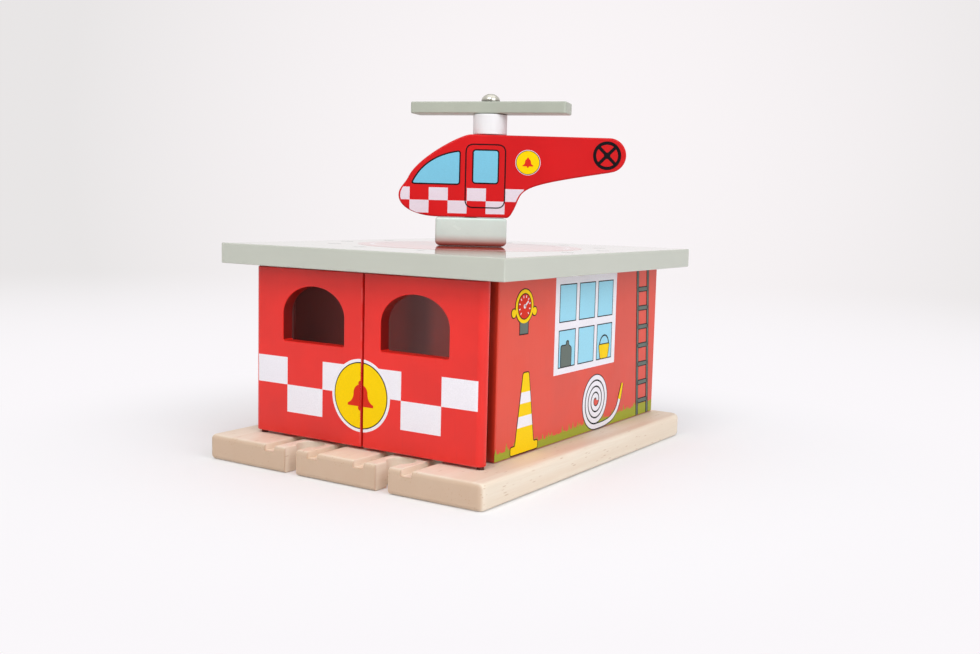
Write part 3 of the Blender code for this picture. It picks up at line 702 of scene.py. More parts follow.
def turned(profile, centre, steps=CIRCLE_STEPS):
    """A profile of radius r and height h turned about an upright line: (r cos a, r sin a, h)."""
    angles = np.linspace(0, 2 * np.pi, steps, endpoint=False)
    radius, height = np.asarray(profile, float).T[:, :, None]
    across = centre[0] + radius * np.cos(angles)
    along = centre[1] + radius * np.sin(angles)
    return shell(np.stack([across, along, np.broadcast_to(height, across.shape)], axis=-1))


def turned_about_post(points, post, turn):
    """Points turned about an upright line by an angle."""
    cosine, sine = math.cos(turn), math.sin(turn)
    across = post[0] + points[..., 0] * cosine - points[..., 1] * sine
    along = post[1] + points[..., 0] * sine + points[..., 1] * cosine
    return np.stack([across, along, points[..., 2]], axis=-1)


# Printed ink, laid on a skin, which takes flat places and a height over the paint to places in
# the room.  A shape's level counts the thicknesses of ink from the paint to its top.


def patch(outline, skin, level):
    """A closed film of ink: its outline a little under the paint and again at its level."""
    top = INK_THICKNESS * level
    return shell(np.stack([skin(outline, -INK_SINK), skin(outline, top)]))


def line_round(outline, width, skin, level):
    """A printed line inside an outline: a square section carried round it."""
    inner = grown(outline, -width)
    top = INK_THICKNESS * level
    rings = (skin(outline, -INK_SINK), skin(outline, top), skin(inner, top), skin(inner, -INK_SINK))
    return shell(np.stack(rings), looped=True)


def strip(left, right, heights, skin, level, columns=1):
    """A film between two edges that may vary with height: across = left + (right - left) t."""
    heights, left, right = np.broadcast_arrays(heights, left, right)
    t = np.linspace(0, 1, columns + 1)
    across = left + (right - left) * t[:, None]
    top = INK_THICKNESS * level
    flat = np.stack([across, np.broadcast_to(heights, across.shape)], axis=-1)
    outer = [skin(column, top) for column in flat]
    inner = [skin(column, -INK_SINK) for column in flat[::-1]]
    return shell(np.stack(outer + inner, axis=1))


def stroke(path, width, skin, level):
    """A printed stroke: a path widened along its normals by half its width to both sides."""
    heading = np.gradient(path, axis=0)
    normal = np.column_stack([-heading[:, 1], heading[:, 0]])
    reach = normal / np.linalg.norm(normal, axis=1, keepdims=True) * np.reshape(width, (-1, 1)) / 2
    top = INK_THICKNESS * level
    left, right = path + reach, path - reach
    rings = (skin(left, -INK_SINK), skin(left, top), skin(right, top), skin(right, -INK_SINK))
    return shell(np.stack(rings, axis=1))


# The faces that carry prints


def box_of(node):
    """A node's lowest and highest corners."""
    low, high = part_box(node)
    return np.array(low), np.array(high)


def right_wall_skin():
    """The right wall's outer face: distance from its front edge, and height above its bottom."""
    low, high = box_of("right_wall")

    def skin(flat, lift):
        face = np.full(len(flat), high[0] + lift)
        return np.column_stack([face, low[1] + flat[:, 0], low[2] + flat[:, 1]])

    return skin


def roof_skin():
    """The roof's top: places from its middle."""
    low, high = box_of("roof_board")
    middle = (low + high) / 2

    def skin(flat, lift):
        return upright(flat + middle[:2], high[2] + lift)

    return skin


def door_node(way):
    """The name of the door on one side."""
    return "left_door" if way < 0 else "right_door"


def door_box(way, sizes):
    """A door's lowest and highest corners.  The right door is a little narrower."""
    low, high = box_of(door_node(way))
    if way > 0:
        low[0] += sizes.seam_slack
        high[0] -= sizes.hinge_slack
    return low, high


def door_skin(way, sizes):
    """A door's front: distance along its face from the seam, and height above its bottom.

    Past the hinge axis the face bends round the door's half-round edge, by angle = arc / radius.
    """
    low, high = door_box(way, sizes)
    radius = (high[1] - low[1]) / 2
    axis_across = max(-low[0], high[0]) - radius

    def skin(flat, lift):
        past = np.maximum(way * flat[:, 0] - axis_across, 0) / radius
        across = np.minimum(way * flat[:, 0], axis_across) + (radius + lift) * np.sin(past)
        along = low[1] + radius - (radius + lift) * np.cos(past)
        return np.column_stack([way * across, along, low[2] + flat[:, 1]])

    return skin


def helicopter_middle():
    """Where the helicopter's block stands: the middle of the roof's top."""
    low, high = box_of("roof_board")
    return np.array([*(low + high)[:2] / 2, high[2]])


def helicopter_skin(side, sizes):
    """One side of the helicopter board: distance from its block along it, height above its belly.

    Side -1 faces the doors and +1 faces away from them.
    """
    low = box_of("helicopter_body")[0]
    half = sizes.thickness / 2

    def skin(flat, lift):
        across = np.full(len(flat), side * (half + lift))
        points = np.column_stack([flat[:, 0], across, low[2] + flat[:, 1]])
        return turned_about_post(points, helicopter_middle(), sizes.turn)

    return skin


# Meshes, cuts and edges


def add_mesh(name, shapes):
    """One mesh object from closed shapes, with its faces pointing out."""
    points = np.concatenate([shape_points for shape_points, _ in shapes])
    faces = []
    start = 0
    for shape_points, shape_faces in shapes:
        for group in shape_faces:
            faces += (group + start).tolist()
        start += len(shape_points)
    mesh = bpy.data.meshes.new(name)
    mesh.from_pydata(points.tolist(), [], faces)
    turn_out = bmesh.new()
    turn_out.from_mesh(mesh)
    bmesh.ops.recalc_face_normals(turn_out, faces=turn_out.faces)
    turn_out.to_mesh(mesh)
    turn_out.free()
    mesh.validate()
    thing = bpy.data.objects.new(name, mesh)
    bpy.context.scene.collection.objects.link(thing)
    return thing


def settle(thing):
    """Apply a piece's modifiers to its mesh."""
    depsgraph = bpy.context.evaluated_depsgraph_get()
    mesh = bpy.data.meshes.new_from_object(thing.evaluated_get(depsgraph), depsgraph=depsgraph)
    mesh.name = thing.name
    thing.modifiers.clear()
    thing.data = mesh


def cut(thing, shapes):
    """Take closed shapes out of a piece, one after the other."""
    for number, shape in enumerate(shapes):
        cutter = add_mesh(f"cutter_{number}", [shape])
        boolean = thing.modifiers.new(cutter.name, "BOOLEAN")
        boolean.operation = "DIFFERENCE"
        boolean.solver = "EXACT"
        boolean.object = cutter
        settle(thing)
        bpy.data.objects.remove(cutter)


def round_edges(thing, radius, segments=EDGE_SEGMENTS):
    """Round a piece's sharp edges."""
    bevel = thing.modifiers.new("rounded_edges", "BEVEL")
    bevel.limit_method = "ANGLE"
    bevel.angle_limit = SHARP_ANGLE
    bevel.width = radius
    bevel.segments = segments
    settle(thing)


def smooth_faces(thing):
    """Shade a piece smooth, with its flat faces kept flat and its sharp edges kept sharp."""
    thing.data.shade_smooth()
    thing.data.set_sharp_from_angle(angle=SHARP_ANGLE)
    weighted = thing.modifiers.new("flat_faces", "WEIGHTED_NORMAL")
    weighted.keep_sharp = True
    settle(thing)


def hole_for(node):
    """An upright hole with a clearance all round the box of a pin."""
    low, high = box_of(node)
    radius = (high[0] - low[0]) / 2 + SEAT_GAP
    return turned([(radius, low[2] - SEAT_GAP), (radius, high[2] + SEAT_GAP)], (low + high) / 2)


def finish_piece(thing, body, material, node=None):
    """Give a piece its material and the body it moves with, and hide the solid it stands for."""
    thing.data.materials.clear()
    thing.data.materials.append(material)
    smooth_faces(thing)
    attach(thing, body)
    if node:
        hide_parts(node)


def add_piece(name, shapes, body, material, node, edge_round=0, cuts=()):
    """A piece that stands for a node: its edges are rounded first, and then it is cut."""
    thing = add_mesh(name, shapes)
    if edge_round:
        round_edges(thing, edge_round)
    cut(thing, cuts)
    finish_piece(thing, body, material, node)


def add_prints(prefix, tones, body, colours):
    """A picture's films on one body, a piece for each ink."""
    for tone, shapes in tones.items():
        name = f"{prefix}_{tone}"
        pigment = ink(f"{name}_ink", getattr(colours, f"ink_{tone}"))
        finish_piece(add_mesh(name, shapes), body, pigment)


# Finishes


class Wire:
    """A node's output, with the arithmetic that the finishes use.

    An expression such as 1 - mask * 0.5 adds the Math nodes that work it out.
    """

    def __init__(self, recipe, socket):
        self.recipe = recipe
        self.socket = socket

    def __add__(self, other):
        return self.recipe.math("ADD", self, other)

    def __radd__(self, other):
        return self.recipe.math("ADD", other, self)

    def __sub__(self, other):
        return self.recipe.math("SUBTRACT", self, other)

    def __rsub__(self, other):
        return self.recipe.math("SUBTRACT", other, self)

    def __mul__(self, other):
        return self.recipe.math("MULTIPLY", self, other)

    def __rmul__(self, other):
        return self.recipe.math("MULTIPLY", other, self)

    def at_least(self, other):
        """The larger of two values."""
        return self.recipe.math("MAXIMUM", self, other)

    def at_most(self, other):
        """The smaller of two values."""
        return self.recipe.math("MINIMUM", self, other)

    def ramp(self, low, high):
        """Zero below one value and one above the other, smooth between them."""
        settings = {"interpolation_type": "SMOOTHSTEP"}
        sockets = {"Value": self, "From Min": low, "From Max": high}
        return self.recipe.node("ShaderNodeMapRange", settings, sockets)


class Recipe:
    """A node tree, and the few kinds of node that the finishes are made of."""

    def __init__(self, tree):
        self.tree = tree

    def node(self, kind, settings=None, sockets=None, output=0):
        """Add a node: its settings are set first, then the values or links of its sockets."""
        made = self.tree.nodes.new(kind)
        for key, value in (settings or {}).items():
            setattr(made, key, value)
        for key, value in (sockets or {}).items():
            self.plug(made.inputs[key], value)
        return Wire(self, made.outputs[output])

    def plug(self, socket, value):
        """Link a socket to a wire, or set its value."""
        if isinstance(value, Wire):
            self.tree.links.new(value.socket, socket)
        else:
            socket.default_value = value

    def math(self, operation, *values):
        """One step of arithmetic on numbers."""
        return self.node("ShaderNodeMath", {"operation": operation}, dict(enumerate(values)))

    def mix(self, share, first, second):
        """A colour between two colours."""
        sockets = {0: share, 6: opaque(first), 7: opaque(second)}
        return self.node("ShaderNodeMix", {"data_type": "RGBA"}, sockets, output=2)

    def places(self, stretch=(1, 1, 1)):
        """Object places, with each axis stretched."""
        place = self.node("ShaderNodeTexCoord", output="Object")
        return self.vector_math("MULTIPLY", place, stretch)

    def axes(self, places):
        """The three numbers of a place."""
        split = self.node("ShaderNodeSeparateXYZ", sockets={0: places}).socket.node
        return [Wire(self, output) for output in split.outputs]

    def noise(self, places, size, detail=2.0, distortion=0.0):
        """Soft noise whose features have a size in metres."""
        sockets = {"Vector": places, "Scale": 1 / size, "Detail": detail, "Distortion": distortion}
        return self.node("ShaderNodeTexNoise", sockets=sockets)

    def marks(self, places, kind):
        """Soft marks of one kind, from zero where there are none to one where they are full."""
        return self.noise(places, kind.size, kind.detail, kind.twist).ramp(kind.start, kind.full)

    def bump(self, height, relief, over=None):
        """A surface tilted by a height from zero to one, of a relief in metres, over another."""
        sockets = {"Height": height, "Distance": relief}
        if over:
            sockets["Normal"] = over
        return self.node("ShaderNodeBump", sockets=sockets)

    def vector_math(self, operation, first, second=None, output=0):
        """One step of arithmetic on places or ways."""
        sockets = {0: first} if second is None else {0: first, 1: second}
        return self.node("ShaderNodeVectorMath", {"operation": operation}, sockets, output)


class Finish(Recipe):
    """A material, and the nodes that colour it."""

    def __init__(self, name, roughness, metallic=0.0):
        self.material = bpy.data.materials.new(name)
        self.material.use_nodes = True
        super().__init__(self.material.node_tree)
        self.shader = self.tree.nodes["Principled BSDF"]
        self.set("Roughness", roughness)
        self.set("Metallic", metallic)

    def set(self, socket, value):
        """Set one of the shader's sockets to a value or a wire."""
        self.plug(self.shader.inputs[socket], value)


def opaque(value):
    """A colour with full cover, or a wire as it is."""
    return value if isinstance(value, Wire) else (*value[:3], 1.0)


def shaded(value, factor):
    """A colour made lighter or darker."""
    return tuple(min(channel * factor, 1.0) for channel in value)


def grain_stretch(axis, share=GRAIN_STRETCH):
    """A stretch that draws marks out along one axis."""
    return tuple(share if name == axis else 1.0 for name in "XYZ")


def depth_between(place, near, far):
    """How deep a place lies between two faces, from the nearer one."""
    return (place - float(near)).at_most(float(far) - place)


def depths(finish, low, high):
    """How deep a place lies in a box, along X, Y and Z."""
    return [depth_between(*row) for row in zip(finish.axes(finish.places()), low, high)]


def box_mask(finish, low, high):
    """One inside a box and zero outside it."""
    first, second, third = depths(finish, low, high)
    return first.at_most(second).at_most(third).ramp(0.0, MASK_SOFTNESS)


def edge_mask(finish, low, high):
    """One on the edges of a box and zero on its faces.

    Of the three depths in the box, the middle one is near zero only where two faces meet.
    """
    first, second, third = depths(finish, low, high)
    middle = first.at_least(second).at_most(third).at_least(first.at_most(second))
    return 1 - middle.ramp(0.0, EDGE_WEAR_REACH)


def beech(name, colours, axis, node):
    """Pale wood with soft bands, fine fibres and short flecks along its grain.

    The board's ends, where the fibres are cut across, are darker and browner.
    """
    base_roughness, fibre_roughness = WOOD_ROUGHNESS
    finish = Finish(name, base_roughness)
    grain = finish.places(grain_stretch(axis))
    bands = finish.marks(grain, WOOD_BANDS)
    fibres = finish.noise(grain, WOOD_FIBRE, WOOD_FIBRE_DETAIL)
    fleck_places = finish.places(grain_stretch(axis, WOOD_FLECK_STRETCH))
    fleck_sockets = {"Vector": fleck_places, "Scale": 1 / WOOD_FLECK, "Randomness": 1.0}
    fleck_distance = finish.node("ShaderNodeTexVoronoi", sockets=fleck_sockets)
    patches = finish.marks(finish.places(), WOOD_FLECK_PATCHES)
    flecks = (1 - fleck_distance.ramp(*WOOD_FLECK_RANGE)) * patches
    low, high = box_of(node)
    along = "XYZ".index(axis)
    end_depth = depth_between(finish.axes(finish.places())[along], low[along], high[along])
    ends = 1 - end_depth.ramp(*WOOD_END_RANGE)
    wood = finish.mix(bands * WOOD_BAND_SHARE, colours.beech_light, colours.beech_dark)
    darker_fibres = fibres.ramp(*WOOD_FIBRE_RANGE) * WOOD_FIBRE_SHARE
    wood = finish.mix(darker_fibres, wood, colours.beech_dark)
    wood = finish.mix(ends * WOOD_END_SHARE, wood, colours.beech_end)
    wood = finish.mix(flecks * WOOD_FLECK_SHARE, wood, colours.beech_fleck)
    finish.set("Base Color", wood)
    finish.set("Roughness", base_roughness + fibres * fibre_roughness)
    fibre_height, band_height = WOOD_RELIEF_SHARES
    height = fibres * fibre_height + bands * band_height
    finish.set("Normal", finish.bump(height, WOOD_FIBRE_RELIEF))
    return finish.material


def enamel(name, paint, node, look=WALL_LOOK, axis="Z", shade=None, shade_paint=None):
    """Paint on wood: soft clouds of colour, a fine ripple, the grain showing faintly through it,
    and edges where the paint is thin and rubbed.

    Fewer marks leave it smoother and more even.  A shade is a share, from zero to one, of a deep
    tone where little light gets in.
    """
    finish = Finish(name, look.roughness)
    finish.set("Specular IOR Level", look.gloss)
    places = finish.places()
    grain = finish.noise(finish.places(grain_stretch(axis)), PAINT_GRAIN, PAINT_GRAIN_DETAIL)
    rubbed = edge_mask(finish, *box_of(node)) * finish.marks(places, EDGE_WEAR)
    pale = shaded(paint, 1 + CLOUD_PALER * look.marks)
    deep = shaded(paint, 1 - CLOUD_DEEPER * look.marks)
    painted = finish.mix(finish.marks(places, PAINT_CLOUDS), deep, pale)
    grain_share = grain.ramp(*PAINT_GRAIN_RANGE) * (PAINT_GRAIN_SHARE * look.marks)
    painted = finish.mix(grain_share, painted, shaded(paint, PAINT_GRAIN_TONE))
    painted = finish.mix(rubbed * EDGE_WEAR_SHARE, painted, worn(paint))
    if shade:
        painted = finish.mix(shade(finish), painted, shade_paint or shaded(paint, DEEP_TONE))
    finish.set("Base Color", painted)
    smudges = finish.marks(places, SMUDGES) * SMUDGE_ROUGHNESS
    dullness = smudges + rubbed * WEAR_ROUGHNESS + grain * GRAIN_ROUGHNESS
    finish.set("Roughness", look.roughness + dullness * look.marks)
    ripple = finish.noise(places, PAINT_RIPPLE, PAINT_RIPPLE_DETAIL)
    rippled = finish.bump(ripple, PAINT_RIPPLE_RELIEF * look.marks)
    finish.set("Normal", finish.bump(grain, PAINT_GRAIN_RELIEF * look.marks, rippled))
    return finish.material


def worn(paint):
    """A paint rubbed thin: paler, with its own tint."""
    return tuple(channel * WORN_KEPT + WORN_LIFT for channel in paint)


def ink(name, pigment, look=INK_LOOK):
    """Printing ink: a flat film with slightly uneven cover and a fine dry grain."""
    finish = Finish(name, look.roughness)
    finish.set("Specular IOR Level", look.gloss)
    places = finish.places()
    cover = finish.marks(places, INK_COVER)
    thin, full = (shaded(pigment, tone) for tone in INK_TONES)
    clouds = finish.marks(places, INK_CLOUDS) * INK_CLOUD_SHARE
    finish.set("Base Color", finish.mix(clouds, finish.mix(cover, thin, full), thin))
    finish.set("Roughness", look.roughness + cover * (INK_ROUGHNESS * look.marks))
    ripple = finish.noise(places, PAINT_RIPPLE, PAINT_RIPPLE_DETAIL)
    finish.set("Normal", finish.bump(ripple, PAINT_RIPPLE_RELIEF * look.marks))
    return finish.material


def nickel(name, metal, shade=None):
    """Bright plate with fine scratches and duller patches, darker where a shade says so."""
    base_roughness, dull_roughness, scratch_roughness = NICKEL_ROUGHNESS
    finish = Finish(name, base_roughness, metallic=1.0)
    scratch_places = finish.places(NICKEL_SCRATCH_STRETCH)
    scratches = finish.noise(scratch_places, NICKEL_SCRATCH, NICKEL_SCRATCH_DETAIL)
    dull = finish.marks(finish.places(), DULL_PATCHES)
    plate = finish.mix(dull * NICKEL_DULL_SHARE, metal, shaded(metal, NICKEL_DULL_TONE))
    if shade:
        plate = finish.mix(shade(finish), plate, shaded(metal, DEEP_TONE))
    finish.set("Base Color", plate)
    roughness = base_roughness + dull * dull_roughness + scratches * scratch_roughness
    finish.set("Roughness", roughness)
    finish.set("Normal", finish.bump(scratches, NICKEL_SCRATCH_RELIEF))
    return finish.material


def seen_directly(recipe):
    """One for what the camera sees straight, in a gloss or through glass."""
    rays = recipe.node("ShaderNodeLightPath").socket.node.outputs
    camera, gloss = Wire(recipe, rays["Is Camera Ray"]), Wire(recipe, rays["Is Glossy Ray"])
    return (camera + gloss + Wire(recipe, rays["Is Transmission Ray"])).at_most(1.0)


def backdrop_tone(recipe, way, colours):
    """The room's tone along a way: palest in one direction, and greyer by 2 (1 - cos a) from it."""
    level = math.cos(BACKDROP_RISE)
    across, along = -math.sin(BACKDROP_YAW) * level, math.cos(BACKDROP_YAW) * level
    palest_way = (across, along, math.sin(BACKDROP_RISE))
    unit_way = recipe.vector_math("NORMALIZE", way)
    cosine = recipe.vector_math("DOT_PRODUCT", unit_way, palest_way, output=1)
    share = ((1 - cosine) * (2 / BACKDROP_REACH ** 2)).at_most(1.0)
    return recipe.mix(share, colours.backdrop_near, colours.backdrop_side)


def floor_finish(colours, studio):
    """The pale matt floor, with very soft clouds, that fades into the backdrop far from the toy.

    Far off it has the backdrop's tone along the way from one fixed point, the camera's place in
    the settings, so that the two meet without a line in the photograph's view.
    """
    finish = Finish("floor_paint", 1.0)
    places = finish.places()
    clouds = finish.noise(places, FLOOR_CLOUD)
    low_tone, high_tone = (shaded(colours.floor, tone) for tone in FLOOR_TONES)
    finish.set("Base Color", finish.mix(clouds, low_tone, high_tone))
    finish.set("Specular IOR Level", 0.0)
    distance = finish.vector_math("LENGTH", places, output=1)
    share = distance.ramp(studio.fade_start, studio.fade_end) * seen_directly(finish)
    distant = distance.ramp(studio.fade_end, studio.far_end)
    way = finish.vector_math("SUBTRACT", places, tuple(studio.camera_place))
    tone = finish.mix(distant, colours.floor_far, backdrop_tone(finish, way, colours))
    far = finish.node("ShaderNodeEmission", sockets={"Color": tone, "Strength": 1.0})
    near = Wire(finish, finish.shader.outputs["BSDF"])
    blended = finish.node("ShaderNodeMixShader", sockets={0: share, 1: near, 2: far})
    finish.plug(finish.tree.nodes["Material Output"].inputs["Surface"], blended)
    return finish.material


# Track board


def lane_places(sizes):
    """The middle of each lane across the board."""
    return (-sizes.lane_spacing / 2, sizes.lane_spacing / 2)


def rim_steps(radius):
    """How a cut widens up to its rounded rim: sideways r (1 - cos a), down r (1 - sin a)."""
    angles = np.radians(RIM_ANGLES)
    widening = radius * (1 - np.cos(angles))
    depth = radius * (1 - np.sin(angles))
    slope = (radius - widening[-1]) / depth[-1]
    return [*zip(widening, depth), (radius + slope * CUT_OVERRUN, -CUT_OVERRUN)]


def groove_plan(across, sizes, front, end, widening):
    """A groove's plan: straight from the board's front to a round end."""
    radius = sizes.groove_width / 2 + widening
    start = [(across - radius, front - CUT_OVERRUN), (across + radius, front - CUT_OVERRUN)]
    return joined(start, arc((across, end), radius, 0, 180, CURVE_STEPS))


def socket_plan(across, sizes, front, widening):
    """A keyhole: a straight neck from the board's front into a round head."""
    neck = sizes.neck_width / 2 + widening
    head = sizes.head_radius + widening
    turn = math.degrees(math.asin(neck / head))
    start = [(across - neck, front - CUT_OVERRUN), (across + neck, front - CUT_OVERRUN)]
    middle = (across, front + sizes.head_setback)
    return joined(start, arc(middle, head, turn - 90, 270 - turn, 2 * CURVE_STEPS))


def groove_cutters(sizes, low, high):
    """The four grooves, each with rounded rims."""
    end = box_of("back_wall")[0][1] - sizes.groove_end_margin
    steps = rim_steps(sizes.rim_round)
    cutters = []
    for middle in lane_places(sizes):
        for way in (-1, 1):
            across = middle + way * sizes.groove_spacing / 2
            floor = groove_plan(across, sizes, low[1], end, 0)
            rings = [upright(floor, high[2] - sizes.groove_depth)]
            for widening, depth in steps:
                plan = groove_plan(across, sizes, low[1], end, widening)
                rings.append(upright(plan, high[2] - depth))
            cutters.append(shell(np.stack(rings)))
    return cutters


def socket_cutters(sizes, low, high):
    """The two sockets right through the board, each with rounded rims above and below."""
    steps = rim_steps(sizes.rim_round)
    cutters = []
    for middle in lane_places(sizes):
        plans = [socket_plan(middle, sizes, low[1], widening) for widening, _ in steps]
        lower = [upright(plan, low[2] + depth) for plan, (_, depth) in zip(plans, steps)]
        upper = [upright(plan, high[2] - depth) for plan, (_, depth) in zip(plans, steps)]
        cutters.append(shell(np.stack(lower[::-1] + upper)))
    return cutters


def board_plan(sizes, low, high):
    """The board's plan, with small front corners and large rear ones."""
    front, rear = sizes.front_corner, sizes.rear_corner
    return joined(
        arc((low[0] + front, low[1] + front), front, 180, 270),
        arc((high[0] - front, low[1] + front), front, 270, 360),
        arc((high[0] - rear, high[1] - rear), rear, 0, 90, CURVE_STEPS),
        arc((low[0] + rear, high[1] - rear), rear, 90, 180, CURVE_STEPS),
    )


def add_track_board(settings):
    """The beech board with its lanes, sockets and hinge holes."""
    sizes = settings.board
    low, high = box_of("base_board")
    shapes = [board(board_plan(sizes, low, high), low[2], high[2])]
    pin_holes = [hole_for(f"{side}_door_lower_pin") for side, _ in SIDES]
    cuts = groove_cutters(sizes, low, high) + socket_cutters(sizes, low, high) + pin_holes
    wood = beech("board_beech", settings.colours, "Y", "base_board")
    node, slot = "base_board", "board_wood"
    add_piece("track_board", shapes, "station", wood, node, sizes.edge_round, cuts)


# Shed


def add_plank(name, node, material, edge_round, holes=(), front_slack=0):
    """A plain board in the box of its node, whose front may stand back a little."""
    low, high = box_of(node)
    plan = rectangle(low[0], high[0], low[1] + front_slack, high[1])
    shapes = [board(plan, low[2], high[2])]
    add_piece(name, shapes, "station", material, node, edge_round, holes)


def add_walls(settings):
    """The two side walls, and the back wall between them."""
    sizes, red = settings.shed, settings.colours.wall_red
    edge_round = sizes.wall_edge_round
    for side, _ in SIDES:
        node = f"{side}_wall"
        paint = enamel(f"{node}_red", red, node, shade=side_wall_shade(node, sizes))
        add_plank(f"{node}_board", node, paint, edge_round, (), sizes.front_slack)
    low, high = box_of("back_wall")
    shapes = [shell(drawn_along(back_wall_outline(sizes, low, high), low[1], high[1]))]
    paint = enamel("back_wall_red", red, "back_wall")
    add_piece("back_wall_board", shapes, "station", paint, "back_wall", edge_round)


def side_wall_shade(node, sizes):
    """Where a side wall is dark: at its front end behind the doors, and inside near the doors.

    The front end is lighter towards its outer edge.  Further in, the inside is lit from the
    windows in front and from the doorways behind, with a dimmer band between the two.
    """
    low, high = box_of(node)
    middle = (low[0] + high[0]) / 2
    inside_low, inside_high = low - MASK_REACH, high + MASK_REACH
    inner_end = inside_low if middle < 0 else inside_high
    inner_end[0] = middle
    front_low, front_high = low - MASK_REACH, high + MASK_REACH
    front_high[1] = low[1] + sizes.front_slack + MASK_REACH / 2

    def shade(finish):
        across, along, _ = finish.axes(finish.places())
        from_outside = float(high[0]) - across if middle > 0 else across - float(low[0])
        near_doors = 1 - along.ramp(*NEAR_DOORS_RANGE)
        dim_band = along.ramp(*DIM_BAND_START) * (1 - along.ramp(*DIM_BAND_END)) * DIM_BAND_SHARE
        inside = box_mask(finish, inside_low, inside_high) * near_doors.at_least(dim_band)
        front_reach, front_share = WALL_FRONT_SHADE
        front = box_mask(finish, front_low, front_high) * from_outside.ramp(0.0, front_reach)
        return inside.at_least(front * front_share)

    return shade


def back_wall_outline(sizes, low, high):
    """The back wall seen from behind, with a doorway over each lane that is open to the board."""
    post, leg = sizes.rear_post / 2, high[0] - sizes.rear_leg
    lintel = high[2] - sizes.rear_lintel
    doorway = np.array([(post, low[2]), (post, lintel), (leg, lintel), (leg, low[2])])
    sides = [(high[0], low[2]), (high[0], high[2]), (low[0], high[2]), (low[0], low[2])]
    return joined(doorway[::-1] * (-1, 1), doorway, sides)


def add_roof(settings):
    """The roof board, with holes for the doors' upper pins."""
    sizes = settings.shed
    paint = enamel("roof_grey_green", settings.colours.roof_grey, "roof_board", ROOF_LOOK, "X")
    holes = [hole_for(f"{side}_door_upper_pin") for side, _ in SIDES]
    add_plank("roof_panel", "roof_board", paint, sizes.roof_edge_round, holes)


def window_outline(sizes, middle, top):
    """A flattened arch (w cos a, h sin a) over straight sides and a sill with small corners."""
    half = sizes.window_width / 2
    corner = sizes.window_corner
    sill = top - sizes.window_height
    spring = (middle, top - sizes.window_rise)
    return joined(
        arc((middle - half + corner, sill + corner), corner, 180, 270),
        arc((middle + half - corner, sill + corner), corner, 270, 360),
        arc((0, 0), 1, 0, 180, 2 * CURVE_STEPS) * (half, sizes.window_rise) + spring,
    )


def window_middle(way, sizes):
    """The middle of a door's window, along X."""
    low, high = box_of(door_node(way))
    return (low[0] + high[0]) / 2 - way * sizes.window_shift + sizes.window_offset


def window_cutter(way, sizes):
    """The window through a door, as its outline drawn out from front to back."""
    low, high = door_box(way, sizes)
    outline = window_outline(sizes, window_middle(way, sizes), high[2] - sizes.window_top_margin)
    return shell(drawn_along(outline, low[1] - CUT_OVERRUN, high[1] + CUT_OVERRUN))


def door_shade(way, sizes):
    """Where a door is dark: on the left side of its window's reveal, close under the roof, and a
    little towards its foot."""
    low, high = door_box(way, sizes)
    middle = window_middle(way, sizes)
    top = high[2] - sizes.window_top_margin
    side = middle - sizes.window_width / 2
    sill = top - sizes.window_height
    reveal_low = (side - MASK_REACH, low[1] + sizes.door_edge_round, sill + sizes.door_edge_round)
    reveal_high = (middle, high[1] + MASK_REACH, top + MASK_REACH)

    def shade(finish):
        height = finish.axes(finish.places())[2]
        roof_reach, roof_share = UNDER_ROOF_SHADE
        foot_reach, foot_share = DOOR_FOOT_SHADE
        under_roof = height.ramp(high[2] - roof_reach, high[2]) * roof_share
        foot = (1 - height.ramp(low[2], low[2] + foot_reach)) * foot_share
        reveal = box_mask(finish, reveal_low, reveal_high) * REVEAL_SHARE
        return under_roof.at_least(foot).at_least(reveal)

    return shade


def door_plan(way, low, high):
    """A door's plan: a half round about its hinge, and square at the seam."""
    radius = (high[1] - low[1]) / 2
    middle = low[1] + radius
    hinge = high[0] - radius if way > 0 else low[0] + radius
    seam = low[0] if way > 0 else high[0]
    half_round = arc((0, 0), radius, -90, 90, 2 * CURVE_STEPS) * (way, 1) + (hinge, middle)
    return joined(half_round, [(seam, high[1]), (seam, low[1])])


def add_doors(settings):
    """The two doors, each with its window cut and all its edges rounded."""
    sizes = settings.shed
    for side, way in SIDES:
        node = f"{side}_door"
        low, high = door_box(way, sizes)
        thing = add_mesh(f"{node}_board", [board(door_plan(way, low, high), low[2], high[2])])
        cut(thing, [window_cutter(way, sizes)])
        round_edges(thing, sizes.door_edge_round, DOOR_EDGE_SEGMENTS)
        shade = door_shade(way, sizes)
        paint = enamel(f"{node}_red", settings.colours.door_red, node, DOOR_LOOK, shade=shade)
        finish_piece(thing, node, paint, node)


def add_door_print(settings, side, way):
    """One door's chequers and its half of the badge."""
    sizes = settings.door_print
    skin = door_skin(way, settings.shed)
    margin = sizes.seam_margin + max(way, 0) * settings.shed.seam_slack
    rows = sizes.band_height + sizes.row_height * np.arange(3)
    edges = np.cumsum([way * sizes.shift, *sizes.squares])
    edges[0] = margin
    inks = {"white": [], "black": [], "yellow": [], "red": []}
    for column, row in enumerate(DOOR_WHITE_ROWS):
        left, right = way * edges[column], way * edges[column + 1]
        inks["white"].append(strip(left, right, rows[row:row + 2], skin, 1, CURVE_STEPS))
    centre = (sizes.shift, sizes.badge_height)
    inner = sizes.badge_radius - sizes.badge_border
    body, loop, clapper = bell_outlines(centre, sizes.bell_size)
    layers = (
        ("white", circle(centre, sizes.badge_radius)),
        ("black", circle(centre, inner + KEYLINE)),
        ("yellow", circle(centre, inner)),
        ("red", loop),
        ("red", clapper),
        ("red", body),
    )
    for level, (tone, outline) in enumerate(layers, start=2):
        if (way * outline[:, 0]).max() > margin:
            half = keep_side(outline, way * margin, way)
            inks[tone].append(patch(half, skin, level))
    add_prints(f"{side}_door_print", inks, f"{side}_door", settings.colours)


# Right wall's pictures


